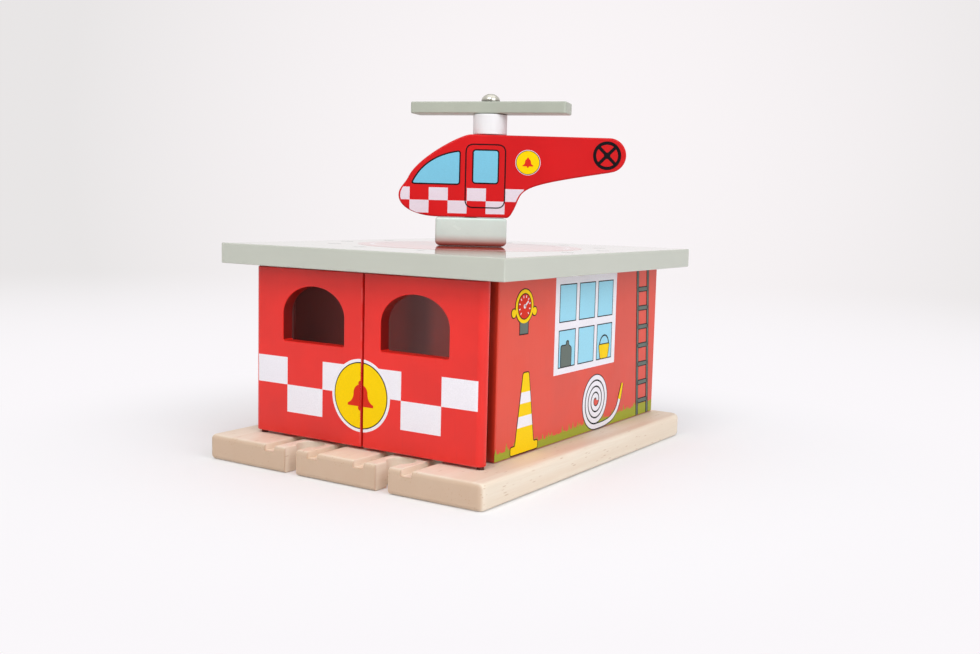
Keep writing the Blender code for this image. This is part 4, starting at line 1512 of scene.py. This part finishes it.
def window_pane_outlines(sizes):
    """The six panes, in two rows of three."""
    side, top, bottom = sizes.frame
    start = np.array(sizes.window_corner) + (side, bottom)
    bars = np.array(sizes.bars)
    size = (np.array(sizes.window_size) - (2 * side + 2 * bars[0], top + bottom + bars[1])) / (3, 2)
    corners = [start + (column, row) * (size + bars) for row in range(2) for column in range(3)]
    return [rectangle(left, left + size[0], low, low + size[1]) for left, low in corners]


def window_shapes(sizes, skin):
    """The window's white frame, its blue panes and the dark lines round them."""
    (left, low), (width, height) = sizes.window_corner, sizes.window_size
    frame_outline = rectangle(left, left + width, low, low + height)
    panes = window_pane_outlines(sizes)
    return {
        "white": [patch(frame_outline, skin, 2)],
        "black": [line_round(pane, KEYLINE, skin, 4) for pane in panes],
        "pane": [patch(pane, skin, 3) for pane in panes],
    }


def in_pane(pane, shares, placing):
    """A small picture that stands in a pane: its outline, and the middle of its foot."""
    width = pane[1, 0] - pane[0, 0]
    place, half_width, height = placing
    foot = (pane[0, 0] + width * place, pane[0, 1] + KEYLINE)
    return picture_outline(shares, foot, width * half_width, width * height, KEYLINE * 2), foot


def sill_picture_shapes(sizes, skin):
    """A yellow pail in the last lower pane and a grey can in the first."""
    panes = window_pane_outlines(sizes)
    width = panes[0][1, 0] - panes[0][0, 0]
    pail, pail_foot = in_pane(panes[2], PAIL_SHARES, PAIL_IN_PANE)
    can, _ = in_pane(panes[0], CAN_SHARES, CAN_IN_PANE)
    handle_middle = (pail_foot[0], pail_foot[1] + width * HANDLE_HEIGHT)
    handle = arc(handle_middle, width * HANDLE_RADIUS, *HANDLE_ANGLES, CURVE_STEPS)
    return {
        "black": [
            patch(grown(pail, KEYLINE), skin, 5),
            patch(grown(can, KEYLINE), skin, 5),
            stroke(handle, HANDLE_LINE, skin, 5),
        ],
        "yellow": [patch(pail, skin, 6)],
        "grey": [patch(can, skin, 6)],
    }


def ladder_rails(sizes, height, way):
    """A rail's path, from the foot to the top of the leaning ladder."""
    heights = np.array([sizes.foot_margin, height - sizes.edge_margin])
    return np.column_stack([np.array(sizes.ladder) + way * sizes.ladder_spacing / 2, heights])


def ladder_shapes(sizes, skin, height):
    """Two rails and their rungs in grey, each over a slightly wider dark shape."""
    shapes = {"black": [], "grey": []}
    rails = [ladder_rails(sizes, height, way) for way in (-1, 1)]
    rungs = np.arange(sizes.first_rung, height - sizes.rung_pitch / 2, sizes.rung_pitch)
    for level, tone, inset in ((4, "black", 0), (5, "grey", KEYLINE)):
        for rail in rails:
            shapes[tone].append(stroke(rail, sizes.rail_width - 2 * inset, skin, level))
        for rung in rungs:
            ends = [np.interp(rung, rail[:, 1], rail[:, 0]) for rail in rails]
            path = np.array([(ends[0], rung), (ends[1], rung)])
            shapes[tone].append(stroke(path, sizes.rung_height - 2 * inset, skin, level))
    return shapes


def grass_shapes(sizes, skin, wall_length):
    """A strip of grass: flat below, and above a zigzag of blades of uneven height."""
    start, end = sizes.edge_margin, wall_length - sizes.edge_margin
    count = int((end - start) / sizes.blade_pitch)
    uneven = np.random.default_rng(GRASS_SEED)
    valleys = np.linspace(start, end, count + 1)
    ground = sizes.grass_height + sizes.grass_rise * (valleys / wall_length) ** 3
    tips = valleys[:-1] + sizes.blade_pitch * uneven.uniform(*BLADE_PLACES, count)
    tip_heights = ground[:-1] + sizes.blade_height * uneven.uniform(*BLADE_SHARES, count) ** 2
    across = np.empty(2 * count + 1)
    heights = np.empty(2 * count + 1)
    across[0::2], across[1::2] = valleys, tips
    heights[0::2], heights[1::2] = ground, tip_heights
    top = np.column_stack([across, heights])[::-1]
    foot = sizes.foot_margin
    return {"green": [patch(joined([(start, foot), (end, foot)], top), skin, 1)]}


def dial_shapes(sizes, skin):
    """A round pressure dial: yellow rim, red face, white ticks and hand, on a grey bracket."""
    centre = np.array(sizes.dial)
    radius = sizes.dial_radius
    face = radius * DIAL_FACE
    bracket = rectangle(*(radius * np.array(DIAL_BRACKET))) + centre
    knob_across, knob_height = radius * np.array(DIAL_KNOB_PLACE)
    knob_places = [centre + (way * knob_across, knob_height) for way in (-1, 1)]
    knobs = [circle(place, radius * DIAL_KNOB_RADIUS) for place in knob_places]
    ticks = []
    for degrees in np.linspace(*DIAL_TICK_ANGLES, DIAL_TICKS):
        path = centre + np.array(DIAL_TICK_ENDS) * face * step_along(degrees)
        ticks.append(stroke(path, KEYLINE, skin, 7))
    hand = centre + face * np.array([(0, 0), DIAL_HAND_END])
    rim = circle(centre, radius)
    dark = [patch(grown(outline, KEYLINE), skin, 2) for outline in (bracket, rim, *knobs)]
    hub = patch(circle(centre, DIAL_HUB_RADIUS), skin, 8)
    pointer = [stroke(hand, DIAL_HAND_LINE, skin, 8), hub]
    return {
        "black": dark + [patch(circle(centre, face + KEYLINE), skin, 5)],
        "grey": [patch(bracket, skin, 3)],
        "yellow": [patch(outline, skin, 4) for outline in (rim, *knobs)],
        "red": [patch(circle(centre, face), skin, 6)],
        "white": ticks + pointer,
    }


def cone_shapes(sizes, skin):
    """A yellow marker cone with two white bands."""
    foot = np.array([sizes.cone_setback, sizes.foot_margin + KEYLINE])
    half = sizes.cone_width / 2
    outline = picture_outline(CONE_SHARES, foot, half, sizes.cone_height, KEYLINE * 2)
    side_reaches, side_heights = np.transpose([CONE_SHARES[3], CONE_SHARES[4]])
    bands = []
    for low, high in CONE_BAND_SHARES:
        reach = np.interp([low, high], side_heights, side_reaches) * half
        heights = np.array([low, high]) * sizes.cone_height + foot[1]
        bands.append((foot[0] - reach, foot[0] + reach, heights))
    return {
        "black": [patch(grown(outline, KEYLINE), skin, 2)],
        "yellow": [patch(outline, skin, 3)],
        "white": [strip(left, right, heights, skin, 4) for left, right, heights in bands],
    }


def hose_path(sizes):
    """A spiral of radius r = r0 + pitch a / 2 pi, whose outer end runs out along the ground."""
    turns = np.linspace(0, HOSE_TURNS, 8 * CURVE_STEPS)
    radius = sizes.hose_pitch * (HOSE_START_RADIUS + turns)
    angles = 2 * np.pi * turns
    spiral = radius[:, None] * np.column_stack([np.cos(angles), np.sin(angles)])
    tip = (sizes.hose_reach, -radius[-1] * HOSE_TIP_DROP)
    tail = bend(spiral[-1], 0, tip, HOSE_TIP_HEADING, HOSE_TIP_PULL_SHARES)
    return np.concatenate([spiral, tail[1:]]) + tuple(sizes.hose)


def hose_shapes(sizes, skin):
    """A coiled white hose over a slightly wider dark one, with a yellow nozzle."""
    path = hose_path(sizes)
    heading = (path[-1] - path[-2]) / np.linalg.norm(path[-1] - path[-2])
    nozzle = path[-1] + np.array(NOZZLE_ENDS) * sizes.hose_width * heading
    nozzle_widths = np.array(NOZZLE_WIDTHS) * sizes.hose_width
    dark_hose = stroke(path, sizes.hose_width + 2 * KEYLINE, skin, 2)
    return {
        "black": [dark_hose, stroke(nozzle, nozzle_widths + 2 * KEYLINE, skin, 4)],
        "white": [stroke(path, sizes.hose_width, skin, 3)],
        "yellow": [stroke(nozzle, nozzle_widths, skin, 5)],
    }


def add_wall_prints(settings):
    """All the pictures on the right wall."""
    sizes, skin = settings.wall_print, right_wall_skin()
    low, high = box_of("right_wall")
    pictures = {
        "window": window_shapes(sizes, skin),
        "sill": sill_picture_shapes(sizes, skin),
        "ladder": ladder_shapes(sizes, skin, high[2] - low[2]),
        "grass": grass_shapes(sizes, skin, high[1] - low[1]),
        "dial": dial_shapes(sizes, skin),
        "cone": cone_shapes(sizes, skin),
        "hose": hose_shapes(sizes, skin),
    }
    for name, tones in pictures.items():
        add_prints(f"right_wall_{name}", tones, "station", settings.colours)


# Helicopter


def helicopter_outline(sizes, height):
    """Side view of the helicopter board, nose to the left, from the belly round to the belly."""
    nose = nose_curve(sizes)
    heading = math.degrees(sizes.slope_heading)
    cabin_top = (-sizes.cabin_top_reach, height)
    roof = bend(nose[-1], heading, cabin_top, 0, NOSE_ROOF_PULL_SHARES)
    return joined(nose, roof, boom_curve(sizes, height))


def nose_curve(sizes):
    """From the front of the belly round the nose to the slope's foot."""
    heading = math.degrees(sizes.slope_heading)
    belly = bend((-sizes.belly_front, 0), 180, sizes.nose, 90, NOSE_BELLY_PULL_SHARES)
    front = bend(sizes.nose, 90, sizes.slope_foot, heading, NOSE_FRONT_PULL_SHARES, CORNER_STEPS)
    return joined(belly, front)


def boom_curve(sizes, height):
    """From the tail's round end back under the boom to the belly's rear corner."""
    rear_rise = (sizes.belly_rear + sizes.belly_corner, sizes.belly_corner)
    tail_end = math.degrees(sizes.tail_end)
    belly_heading = math.degrees(sizes.boom_heading)
    middle = (sizes.tail_reach, height - sizes.tail_radius)
    tail = arc(middle, sizes.tail_radius, 90, tail_end, CURVE_STEPS)
    boom = bend(tail[-1], tail_end - 90, rear_rise, belly_heading, BOOM_PULL_SHARES)
    return joined(tail, boom, [(sizes.belly_rear, 0)])


def add_helicopter_board(settings):
    """The red helicopter board, its outline drawn out across its thickness."""
    sizes = settings.helicopter
    low, high = box_of("helicopter_body")
    half = sizes.thickness / 2
    rings = drawn_along(helicopter_outline(sizes, high[2] - low[2]) + (0, low[2]), -half, half)
    shapes = [shell(turned_about_post(rings, helicopter_middle(), sizes.turn))]
    red = settings.colours.helicopter_red
    paint = enamel("helicopter_paint", red, "helicopter_body", HELICOPTER_LOOK, "X")
    node, slot = "helicopter_body", "helicopter_red"
    add_piece("helicopter_board", shapes, "helicopter", paint, node, sizes.edge_round)


def block_rings(sizes, low, high):
    """The block's plan from its foot to its top.

    Its lower and upper edges are rounded: in by r (1 - cos a), and in height by r (1 - sin a).
    """
    half_length, half_width = sizes.stand[0] / 2, sizes.stand[1] / 2
    angles = np.radians(np.linspace(90, 0, CORNER_STEPS + 1))
    rings = []
    for edge, start, way in ((sizes.stand_foot_round, low, 1), (sizes.stand_edge_round, high, -1)):
        insets = edge * (1 - np.cos(angles[::way]))
        heights = start + way * edge * (1 - np.sin(angles[::way]))
        for inset, height in zip(insets, heights):
            length_reach, width_reach = half_length - inset, half_width - inset
            corners = rectangle(-length_reach, length_reach, -width_reach, width_reach)
            rings.append(upright(soft_corners(corners, sizes.stand_edge_round), height))
    return np.stack(rings)


def low_shade(bottom, reach, share):
    """A shade that fades upwards from a height."""

    def shade(finish):
        height = finish.axes(finish.places())[2] - float(bottom)
        return (1 - height.ramp(0.0, reach)) * share

    return shade


def add_stand(settings):
    """The pale block that the helicopter stands on."""
    sizes, colours = settings.helicopter, settings.colours
    low, high = box_of("stand_block")
    rings = block_rings(sizes, low[2], high[2])
    shapes = [shell(turned_about_post(rings, helicopter_middle(), sizes.turn))]
    # Painted shade at the block's foot, deep red as a painted reflection of the pad below it
    shade = low_shade(low[2], *STAND_FOOT_SHADE)
    grey, foot = colours.stand_grey, tuple(colours.stand_foot)
    paint = enamel("stand_paint", grey, "stand_block", STAND_LOOK, "X", shade, foot)
    add_piece("helicopter_stand", shapes, "helicopter", paint, "stand_block")


def add_mast(settings):
    """The white mast under the rotor, with both its rims rounded."""
    low, high = box_of("rotor_mast")
    edge = settings.helicopter.mast_edge_round
    across = (high[0] - low[0]) / 2 - edge
    lower = arc((across, low[2] + edge), edge, -90, 0)
    upper = arc((across, high[2] - edge), edge, 0, 90)
    shapes = [turned(np.concatenate([lower, upper]), (low + high) / 2)]
    paint = enamel("mast_paint", settings.colours.mast_white, "rotor_mast", MAST_LOOK)
    add_piece("mast_post", shapes, "helicopter", paint, "rotor_mast")


def add_rotor_screw(settings):
    """The domed screw on top of the rotor: r = R cos a, h = H sin a, with a cross recess."""
    sizes = settings.helicopter
    low, high = box_of("rotor_screw")
    middle = (low + high) / 2
    radius = (high[0] - low[0]) / 2
    seat = box_of("rotor_blade")[1][2] + SEAT_GAP
    rim = seat + sizes.screw_rim
    dome = arc((0, 0), 1, 0, SCREW_DOME_END, CURVE_STEPS) * (radius, high[2] - rim) + (0, rim)
    shank = [(sizes.screw_shank, low[2]), (sizes.screw_shank, seat), (radius, seat)]
    shapes = [turned(np.concatenate([shank, dome]), middle)]
    width, reach, sinking = sizes.recess
    arms = []
    for across, along in ((width / 2, reach), (reach, width / 2)):
        plan = rectangle(-across, across, -along, along) + middle[:2]
        arms.append(board(plan, high[2] - sinking, high[2] + CUT_OVERRUN))
    shade = low_shade(seat, *SCREW_FOOT_SHADE)
    metal = nickel("screw_nickel", settings.colours.nickel, shade)
    node, slot = "rotor_screw", "screw_steel"
    add_piece("rotor_screw_head", shapes, "helicopter", metal, node, 0, arms)


def add_rotor(settings):
    """The grey rotor bar, with a hole for its screw."""
    sizes = settings.helicopter
    low, high = box_of("rotor_blade")
    half_length, half_width = sizes.rotor[0] / 2, sizes.rotor[1] / 2
    corners = rectangle(-half_length, half_length, -half_width, half_width)
    rings = board(soft_corners(corners, sizes.rotor_corner), low[2], high[2])
    axis = (low + high) / 2
    points = turned_about_post(rings[0], axis, sizes.turn + sizes.rotor_turn)
    shank = sizes.screw_shank + SEAT_GAP
    hole = turned([(shank, low[2] - CUT_OVERRUN), (shank, high[2] + CUT_OVERRUN)], axis)
    paint = enamel("rotor_paint", settings.colours.rotor_grey, "rotor_blade", ROTOR_LOOK, "X")
    shapes, edge_round = [(points, rings[1])], sizes.rotor_edge_round
    add_piece("rotor_bar", shapes, "rotor", paint, "rotor_blade", edge_round, [hole])


def helicopter_chequers(settings, skin):
    """White squares in two rows, cut off by the board's nose and by the rise of its belly."""
    sizes = settings.helicopter_print
    low, high = box_of("helicopter_body")
    nose = nose_curve(settings.helicopter)
    boom = boom_curve(settings.helicopter, high[2] - low[2])[::-1][:CURVE_STEPS]
    squares = []
    for row, columns in enumerate(HELICOPTER_WHITE_COLUMNS):
        bottom = sizes.band_height + row * sizes.row_height
        heights = np.linspace(bottom, bottom + sizes.row_height, CORNER_STEPS + 1)
        front = np.interp(heights, nose[:, 1], nose[:, 0])
        rear = np.interp(heights, boom[:, 1], boom[:, 0])
        for column in columns:
            left = sizes.band_start + column * sizes.square
            lefts = np.maximum(left, front + sizes.edge_margin)
            rights = np.minimum(left + sizes.square, rear - sizes.edge_margin)
            squares.append(strip(lefts, rights, heights, skin, 1))
    return squares


def cockpit_outline(sizes):
    """A pane with a flat sill, an upright rear side and a slope that swells out."""
    front_end, rear_end, sill, top = sizes.cockpit
    rear_top, front = np.array([rear_end, top]), np.array([front_end, sill])
    t = np.linspace(0, 1, CURVE_STEPS + 1)[:, None]
    outwards = np.array([-1, 1]) * sizes.cockpit_swell
    swell = (rear_top + front) / 2 + outwards * 2 / math.sqrt(2)
    slope = (1 - t) ** 2 * rear_top + 2 * t * (1 - t) * swell + t ** 2 * front
    return soft_corners(joined(slope, [(rear_end, sill)]), sizes.cockpit_corner, PANE_CORNER_STEPS)


def helicopter_side_shapes(settings, side):
    """Everything printed on one side of the helicopter, by ink."""
    sizes = settings.helicopter_print
    skin = helicopter_skin(side, settings.helicopter)
    door = soft_corners(rectangle(*sizes.door), sizes.door_corner)
    panes = [cockpit_outline(sizes), soft_corners(rectangle(*sizes.pane), sizes.pane_corner)]
    inner = sizes.badge_radius - sizes.badge_border
    hub_to_rim = sizes.ring_radius - sizes.ring_width / 2
    spokes = []
    for degrees in SPOKE_HEADINGS:
        path = np.array(sizes.ring) + np.array([[-1], [1]]) * hub_to_rim * step_along(degrees)
        spokes.append(stroke(path, sizes.ring_width, skin, 3))
    bell = bell_outlines(sizes.badge, sizes.bell_size)[::-1]
    chequers = helicopter_chequers(settings, skin)
    return {
        "pale": chequers + [patch(circle(sizes.badge, sizes.badge_radius), skin, 2)],
        "black": [
            line_round(door, DOOR_LINE, skin, 3),
            *(patch(grown(outline, PANE_LINE), skin, 2) for outline in panes),
            patch(circle(sizes.badge, inner + BADGE_LINE), skin, 3),
            line_round(circle(sizes.ring, sizes.ring_radius), sizes.ring_width, skin, 2),
            patch(circle(sizes.ring, sizes.hub_radius), skin, 4),
            *spokes,
        ],
        "blue": [patch(outline, skin, 3) for outline in panes],
        "yellow": [patch(circle(sizes.badge, inner), skin, 4)],
        "red": [patch(outline, skin, level) for level, outline in enumerate(bell, start=5)],
    }


def add_helicopter_print(settings):
    """The pictures on both sides of the helicopter, a piece for each ink and side."""
    for name, side in (("near", -1), ("far", 1)):
        tones = helicopter_side_shapes(settings, side)
        add_prints(f"helicopter_{name}", tones, "helicopter", settings.colours)


# Roof's landing pad


def add_pad_print(settings):
    """A red disc with a pale ring in it, and grey dashes all round it."""
    sizes, colours = settings.pad_print, settings.colours
    skin = roof_skin()
    dashes = []
    for degrees in (np.arange(PAD_DASHES) + 0.5) * 360 / PAD_DASHES:
        ends = sizes.dash_radius + np.array([[-0.5], [0.5]]) * sizes.dash_length
        dashes.append(stroke(ends * step_along(degrees), sizes.dash_width, skin, 1))
    disc = [patch(circle((0, 0), sizes.disc_radius), skin, 1)]
    ring = [line_round(circle((0, 0), sizes.ring_radius), sizes.ring_width, skin, 2)]
    tones = {
        "red": (disc, colours.pad_red),
        "white": (ring, colours.ink_white),
        "grey": (dashes, colours.ink_grey),
    }
    for tone, (shapes, pigment) in tones.items():
        name = f"roof_pad_{tone}"
        finish_piece(add_mesh(name, shapes), "station", ink(f"{name}_ink", pigment, ROOF_INK_LOOK))


# Hidden fixings


def dress_fixings(settings):
    """Give the dowels and screws inside the boards their wood and their nickel, and paint the hinge
    pins deep brown as painted shade.
    """
    metal = nickel("hidden_screw_nickel", settings.colours.nickel)
    for name, thing in frame["nodes"].items():
        if "pin" in name:
            # Painted shade: the pins are painted deep brown for the dark gaps in which they show
            dress(thing, enamel(f"{name}_stain", settings.colours.pin_brown, name, PIN_LOOK))
        elif "dowel" in name:
            dress(thing, beech(f"{name}_beech", settings.colours, "Z", name))
        elif "wall_screw" in name:
            dress(thing, metal)


def dress(thing, material):
    """Assign one material to a solid of the frame."""
    if not thing.material_slots:
        thing.data.materials.append(material)
    for slot in thing.material_slots:
        slot.material = material


# Stage


def add_floor(settings):
    """A wide round floor under the board."""
    rim = circle((0, 0), settings.studio.floor_radius)
    mesh = bpy.data.meshes.new("floor")
    mesh.from_pydata(upright(rim, 0).tolist(), [], [list(range(len(rim)))])
    floor = bpy.data.objects.new("floor", mesh)
    bpy.context.scene.collection.objects.link(floor)
    mesh.materials.append(floor_finish(settings.colours, settings.studio))


def add_camera(studio):
    """The camera at the photograph's place, with its small roll."""
    yaw, pitch, roll = studio.camera_yaw, studio.camera_pitch, studio.camera_roll
    forwards, down = math.cos(pitch), math.sin(pitch)
    view = Vector((-math.sin(yaw) * forwards, math.cos(yaw) * forwards, -down))
    level = Vector((math.cos(yaw), math.sin(yaw), 0))
    above = level.cross(view)
    right = level * math.cos(roll) + above * math.sin(roll)
    up = above * math.cos(roll) - level * math.sin(roll)
    data = bpy.data.cameras.new("camera")
    data.sensor_width = SENSOR_WIDTH
    data.lens = studio.camera_lens
    data.clip_start, data.clip_end = CLIP_RANGE
    camera = bpy.data.objects.new("camera", data)
    bpy.context.scene.collection.objects.link(camera)
    turn = Matrix((right, up, -view)).transposed().to_4x4()
    camera.matrix_world = Matrix.Translation(studio.camera_place) @ turn
    bpy.context.scene.camera = camera


def add_lamp(name, place, width, watts, tint=(1, 1, 1)):
    """A square soft lamp that points at the toy."""
    data = bpy.data.lights.new(name, "AREA")
    data.size = width
    data.energy = watts
    data.color = tint
    lamp = bpy.data.objects.new(name, data)
    bpy.context.scene.collection.objects.link(lamp)
    lamp.location = place
    lamp.rotation_euler = (Vector(LAMP_TARGET) - Vector(place)).to_track_quat("-Z", "Y").to_euler()


def add_lamps(studio):
    """The key lamp on the right, the wide one overhead and the small one in front."""
    add_lamp("key_lamp", *KEY_LAMP, studio.key_power, KEY_TINT)
    add_lamp("top_lamp", *TOP_LAMP, studio.top_power)
    add_lamp("front_lamp", *FRONT_LAMP, studio.front_power)


def add_world(settings):
    """Even pale light from all round, and a pale backdrop for the camera, gloss and glass."""
    world = bpy.data.worlds.new("room")
    world.use_nodes = True
    world.node_tree.nodes.clear()
    recipe = Recipe(world.node_tree)
    light = recipe.node("ShaderNodeBackground", sockets={"Strength": settings.studio.room_light})
    way = recipe.node("ShaderNodeTexCoord", output="Generated")
    seen_sockets = {"Color": backdrop_tone(recipe, way, settings.colours), "Strength": 1.0}
    seen = recipe.node("ShaderNodeBackground", sockets=seen_sockets)
    sockets = {0: seen_directly(recipe), 1: light, 2: seen}
    mixed = recipe.node("ShaderNodeMixShader", sockets=sockets)
    output = world.node_tree.nodes.new("ShaderNodeOutputWorld")
    recipe.plug(output.inputs["Surface"], mixed)
    bpy.context.scene.world = world


# Operators


class FIRESTATION_OT_track_board(bpy.types.Operator):
    """Build the beech track board with its lanes and sockets"""

    bl_idname = "fire_station.track_board"
    bl_label = "Track board"

    def execute(self, context):
        add_track_board(context.scene.fire_station)
        return {"FINISHED"}


class FIRESTATION_OT_walls(bpy.types.Operator):
    """Build the two side walls and the back wall"""

    bl_idname = "fire_station.walls"
    bl_label = "Walls"

    def execute(self, context):
        add_walls(context.scene.fire_station)
        return {"FINISHED"}


class FIRESTATION_OT_roof(bpy.types.Operator):
    """Build the roof and the landing pad printed on it"""

    bl_idname = "fire_station.roof"
    bl_label = "Roof and landing pad"

    def execute(self, context):
        add_roof(context.scene.fire_station)
        add_pad_print(context.scene.fire_station)
        return {"FINISHED"}


class FIRESTATION_OT_doors(bpy.types.Operator):
    """Build the two doors with their windows, chequers and badge"""

    bl_idname = "fire_station.doors"
    bl_label = "Doors"

    def execute(self, context):
        settings = context.scene.fire_station
        add_doors(settings)
        for side, way in SIDES:
            add_door_print(settings, side, way)
        return {"FINISHED"}


class FIRESTATION_OT_wall_pictures(bpy.types.Operator):
    """Print the window, ladder, grass and small pictures on the right wall"""

    bl_idname = "fire_station.wall_pictures"
    bl_label = "Wall pictures"

    def execute(self, context):
        add_wall_prints(context.scene.fire_station)
        return {"FINISHED"}


class FIRESTATION_OT_helicopter(bpy.types.Operator):
    """Build the helicopter on its block, with its mast, screw and pictures"""

    bl_idname = "fire_station.helicopter"
    bl_label = "Helicopter"

    def execute(self, context):
        settings = context.scene.fire_station
        add_stand(settings)
        add_helicopter_board(settings)
        add_mast(settings)
        add_rotor_screw(settings)
        add_helicopter_print(settings)
        return {"FINISHED"}


class FIRESTATION_OT_rotor(bpy.types.Operator):
    """Build the rotor bar"""

    bl_idname = "fire_station.rotor"
    bl_label = "Rotor"

    def execute(self, context):
        add_rotor(context.scene.fire_station)
        return {"FINISHED"}


class FIRESTATION_OT_fixings(bpy.types.Operator):
    """Finish the pins, dowels and screws inside the boards"""

    bl_idname = "fire_station.fixings"
    bl_label = "Fixings"

    def execute(self, context):
        dress_fixings(context.scene.fire_station)
        return {"FINISHED"}


class FIRESTATION_OT_stage(bpy.types.Operator):
    """Set up the pale floor, the lamps and the camera"""

    bl_idname = "fire_station.stage"
    bl_label = "Stage"

    def execute(self, context):
        settings = context.scene.fire_station
        add_floor(settings)
        add_world(settings)
        add_lamps(settings.studio)
        add_camera(settings.studio)
        context.scene.view_settings.view_transform = "Standard"
        return {"FINISHED"}


OPERATORS = (
    FIRESTATION_OT_track_board,
    FIRESTATION_OT_walls,
    FIRESTATION_OT_roof,
    FIRESTATION_OT_doors,
    FIRESTATION_OT_wall_pictures,
    FIRESTATION_OT_helicopter,
    FIRESTATION_OT_rotor,
    FIRESTATION_OT_fixings,
    FIRESTATION_OT_stage,
)


class FIRESTATION_PT_panel(bpy.types.Panel):
    """The station's pieces, in the order in which they are built"""

    bl_idname = "FIRESTATION_PT_panel"
    bl_label = "Fire Station"
    bl_space_type = "VIEW_3D"
    bl_region_type = "UI"
    bl_category = "Fire Station"

    def draw(self, context):
        for operator in OPERATORS:
            self.layout.operator(operator.bl_idname)


GROUPS = (
    BoardSizes,
    ShedSizes,
    DoorPrintSizes,
    WallPrintSizes,
    HelicopterSizes,
    HelicopterPrintSizes,
    PadPrintSizes,
    Colours,
    Studio,
    FireStationSettings,
)


def register():
    """Make the settings, operators and panel known to Blender."""
    for kind in (*GROUPS, *OPERATORS, FIRESTATION_PT_panel):
        bpy.utils.register_class(kind)
    bpy.types.Scene.fire_station = bpy.props.PointerProperty(type=FireStationSettings)


def unregister():
    """Take the settings, operators and panel away again."""
    del bpy.types.Scene.fire_station
    for kind in reversed((*GROUPS, *OPERATORS, FIRESTATION_PT_panel)):
        bpy.utils.unregister_class(kind)


def main():
    """Build every piece in order."""
    register()
    bpy.ops.fire_station.track_board()
    bpy.ops.fire_station.walls()
    bpy.ops.fire_station.roof()
    bpy.ops.fire_station.doors()
    bpy.ops.fire_station.wall_pictures()
    bpy.ops.fire_station.helicopter()
    bpy.ops.fire_station.rotor()
    bpy.ops.fire_station.fixings()
    bpy.ops.fire_station.stage()


if __name__ == "__main__":
    main()
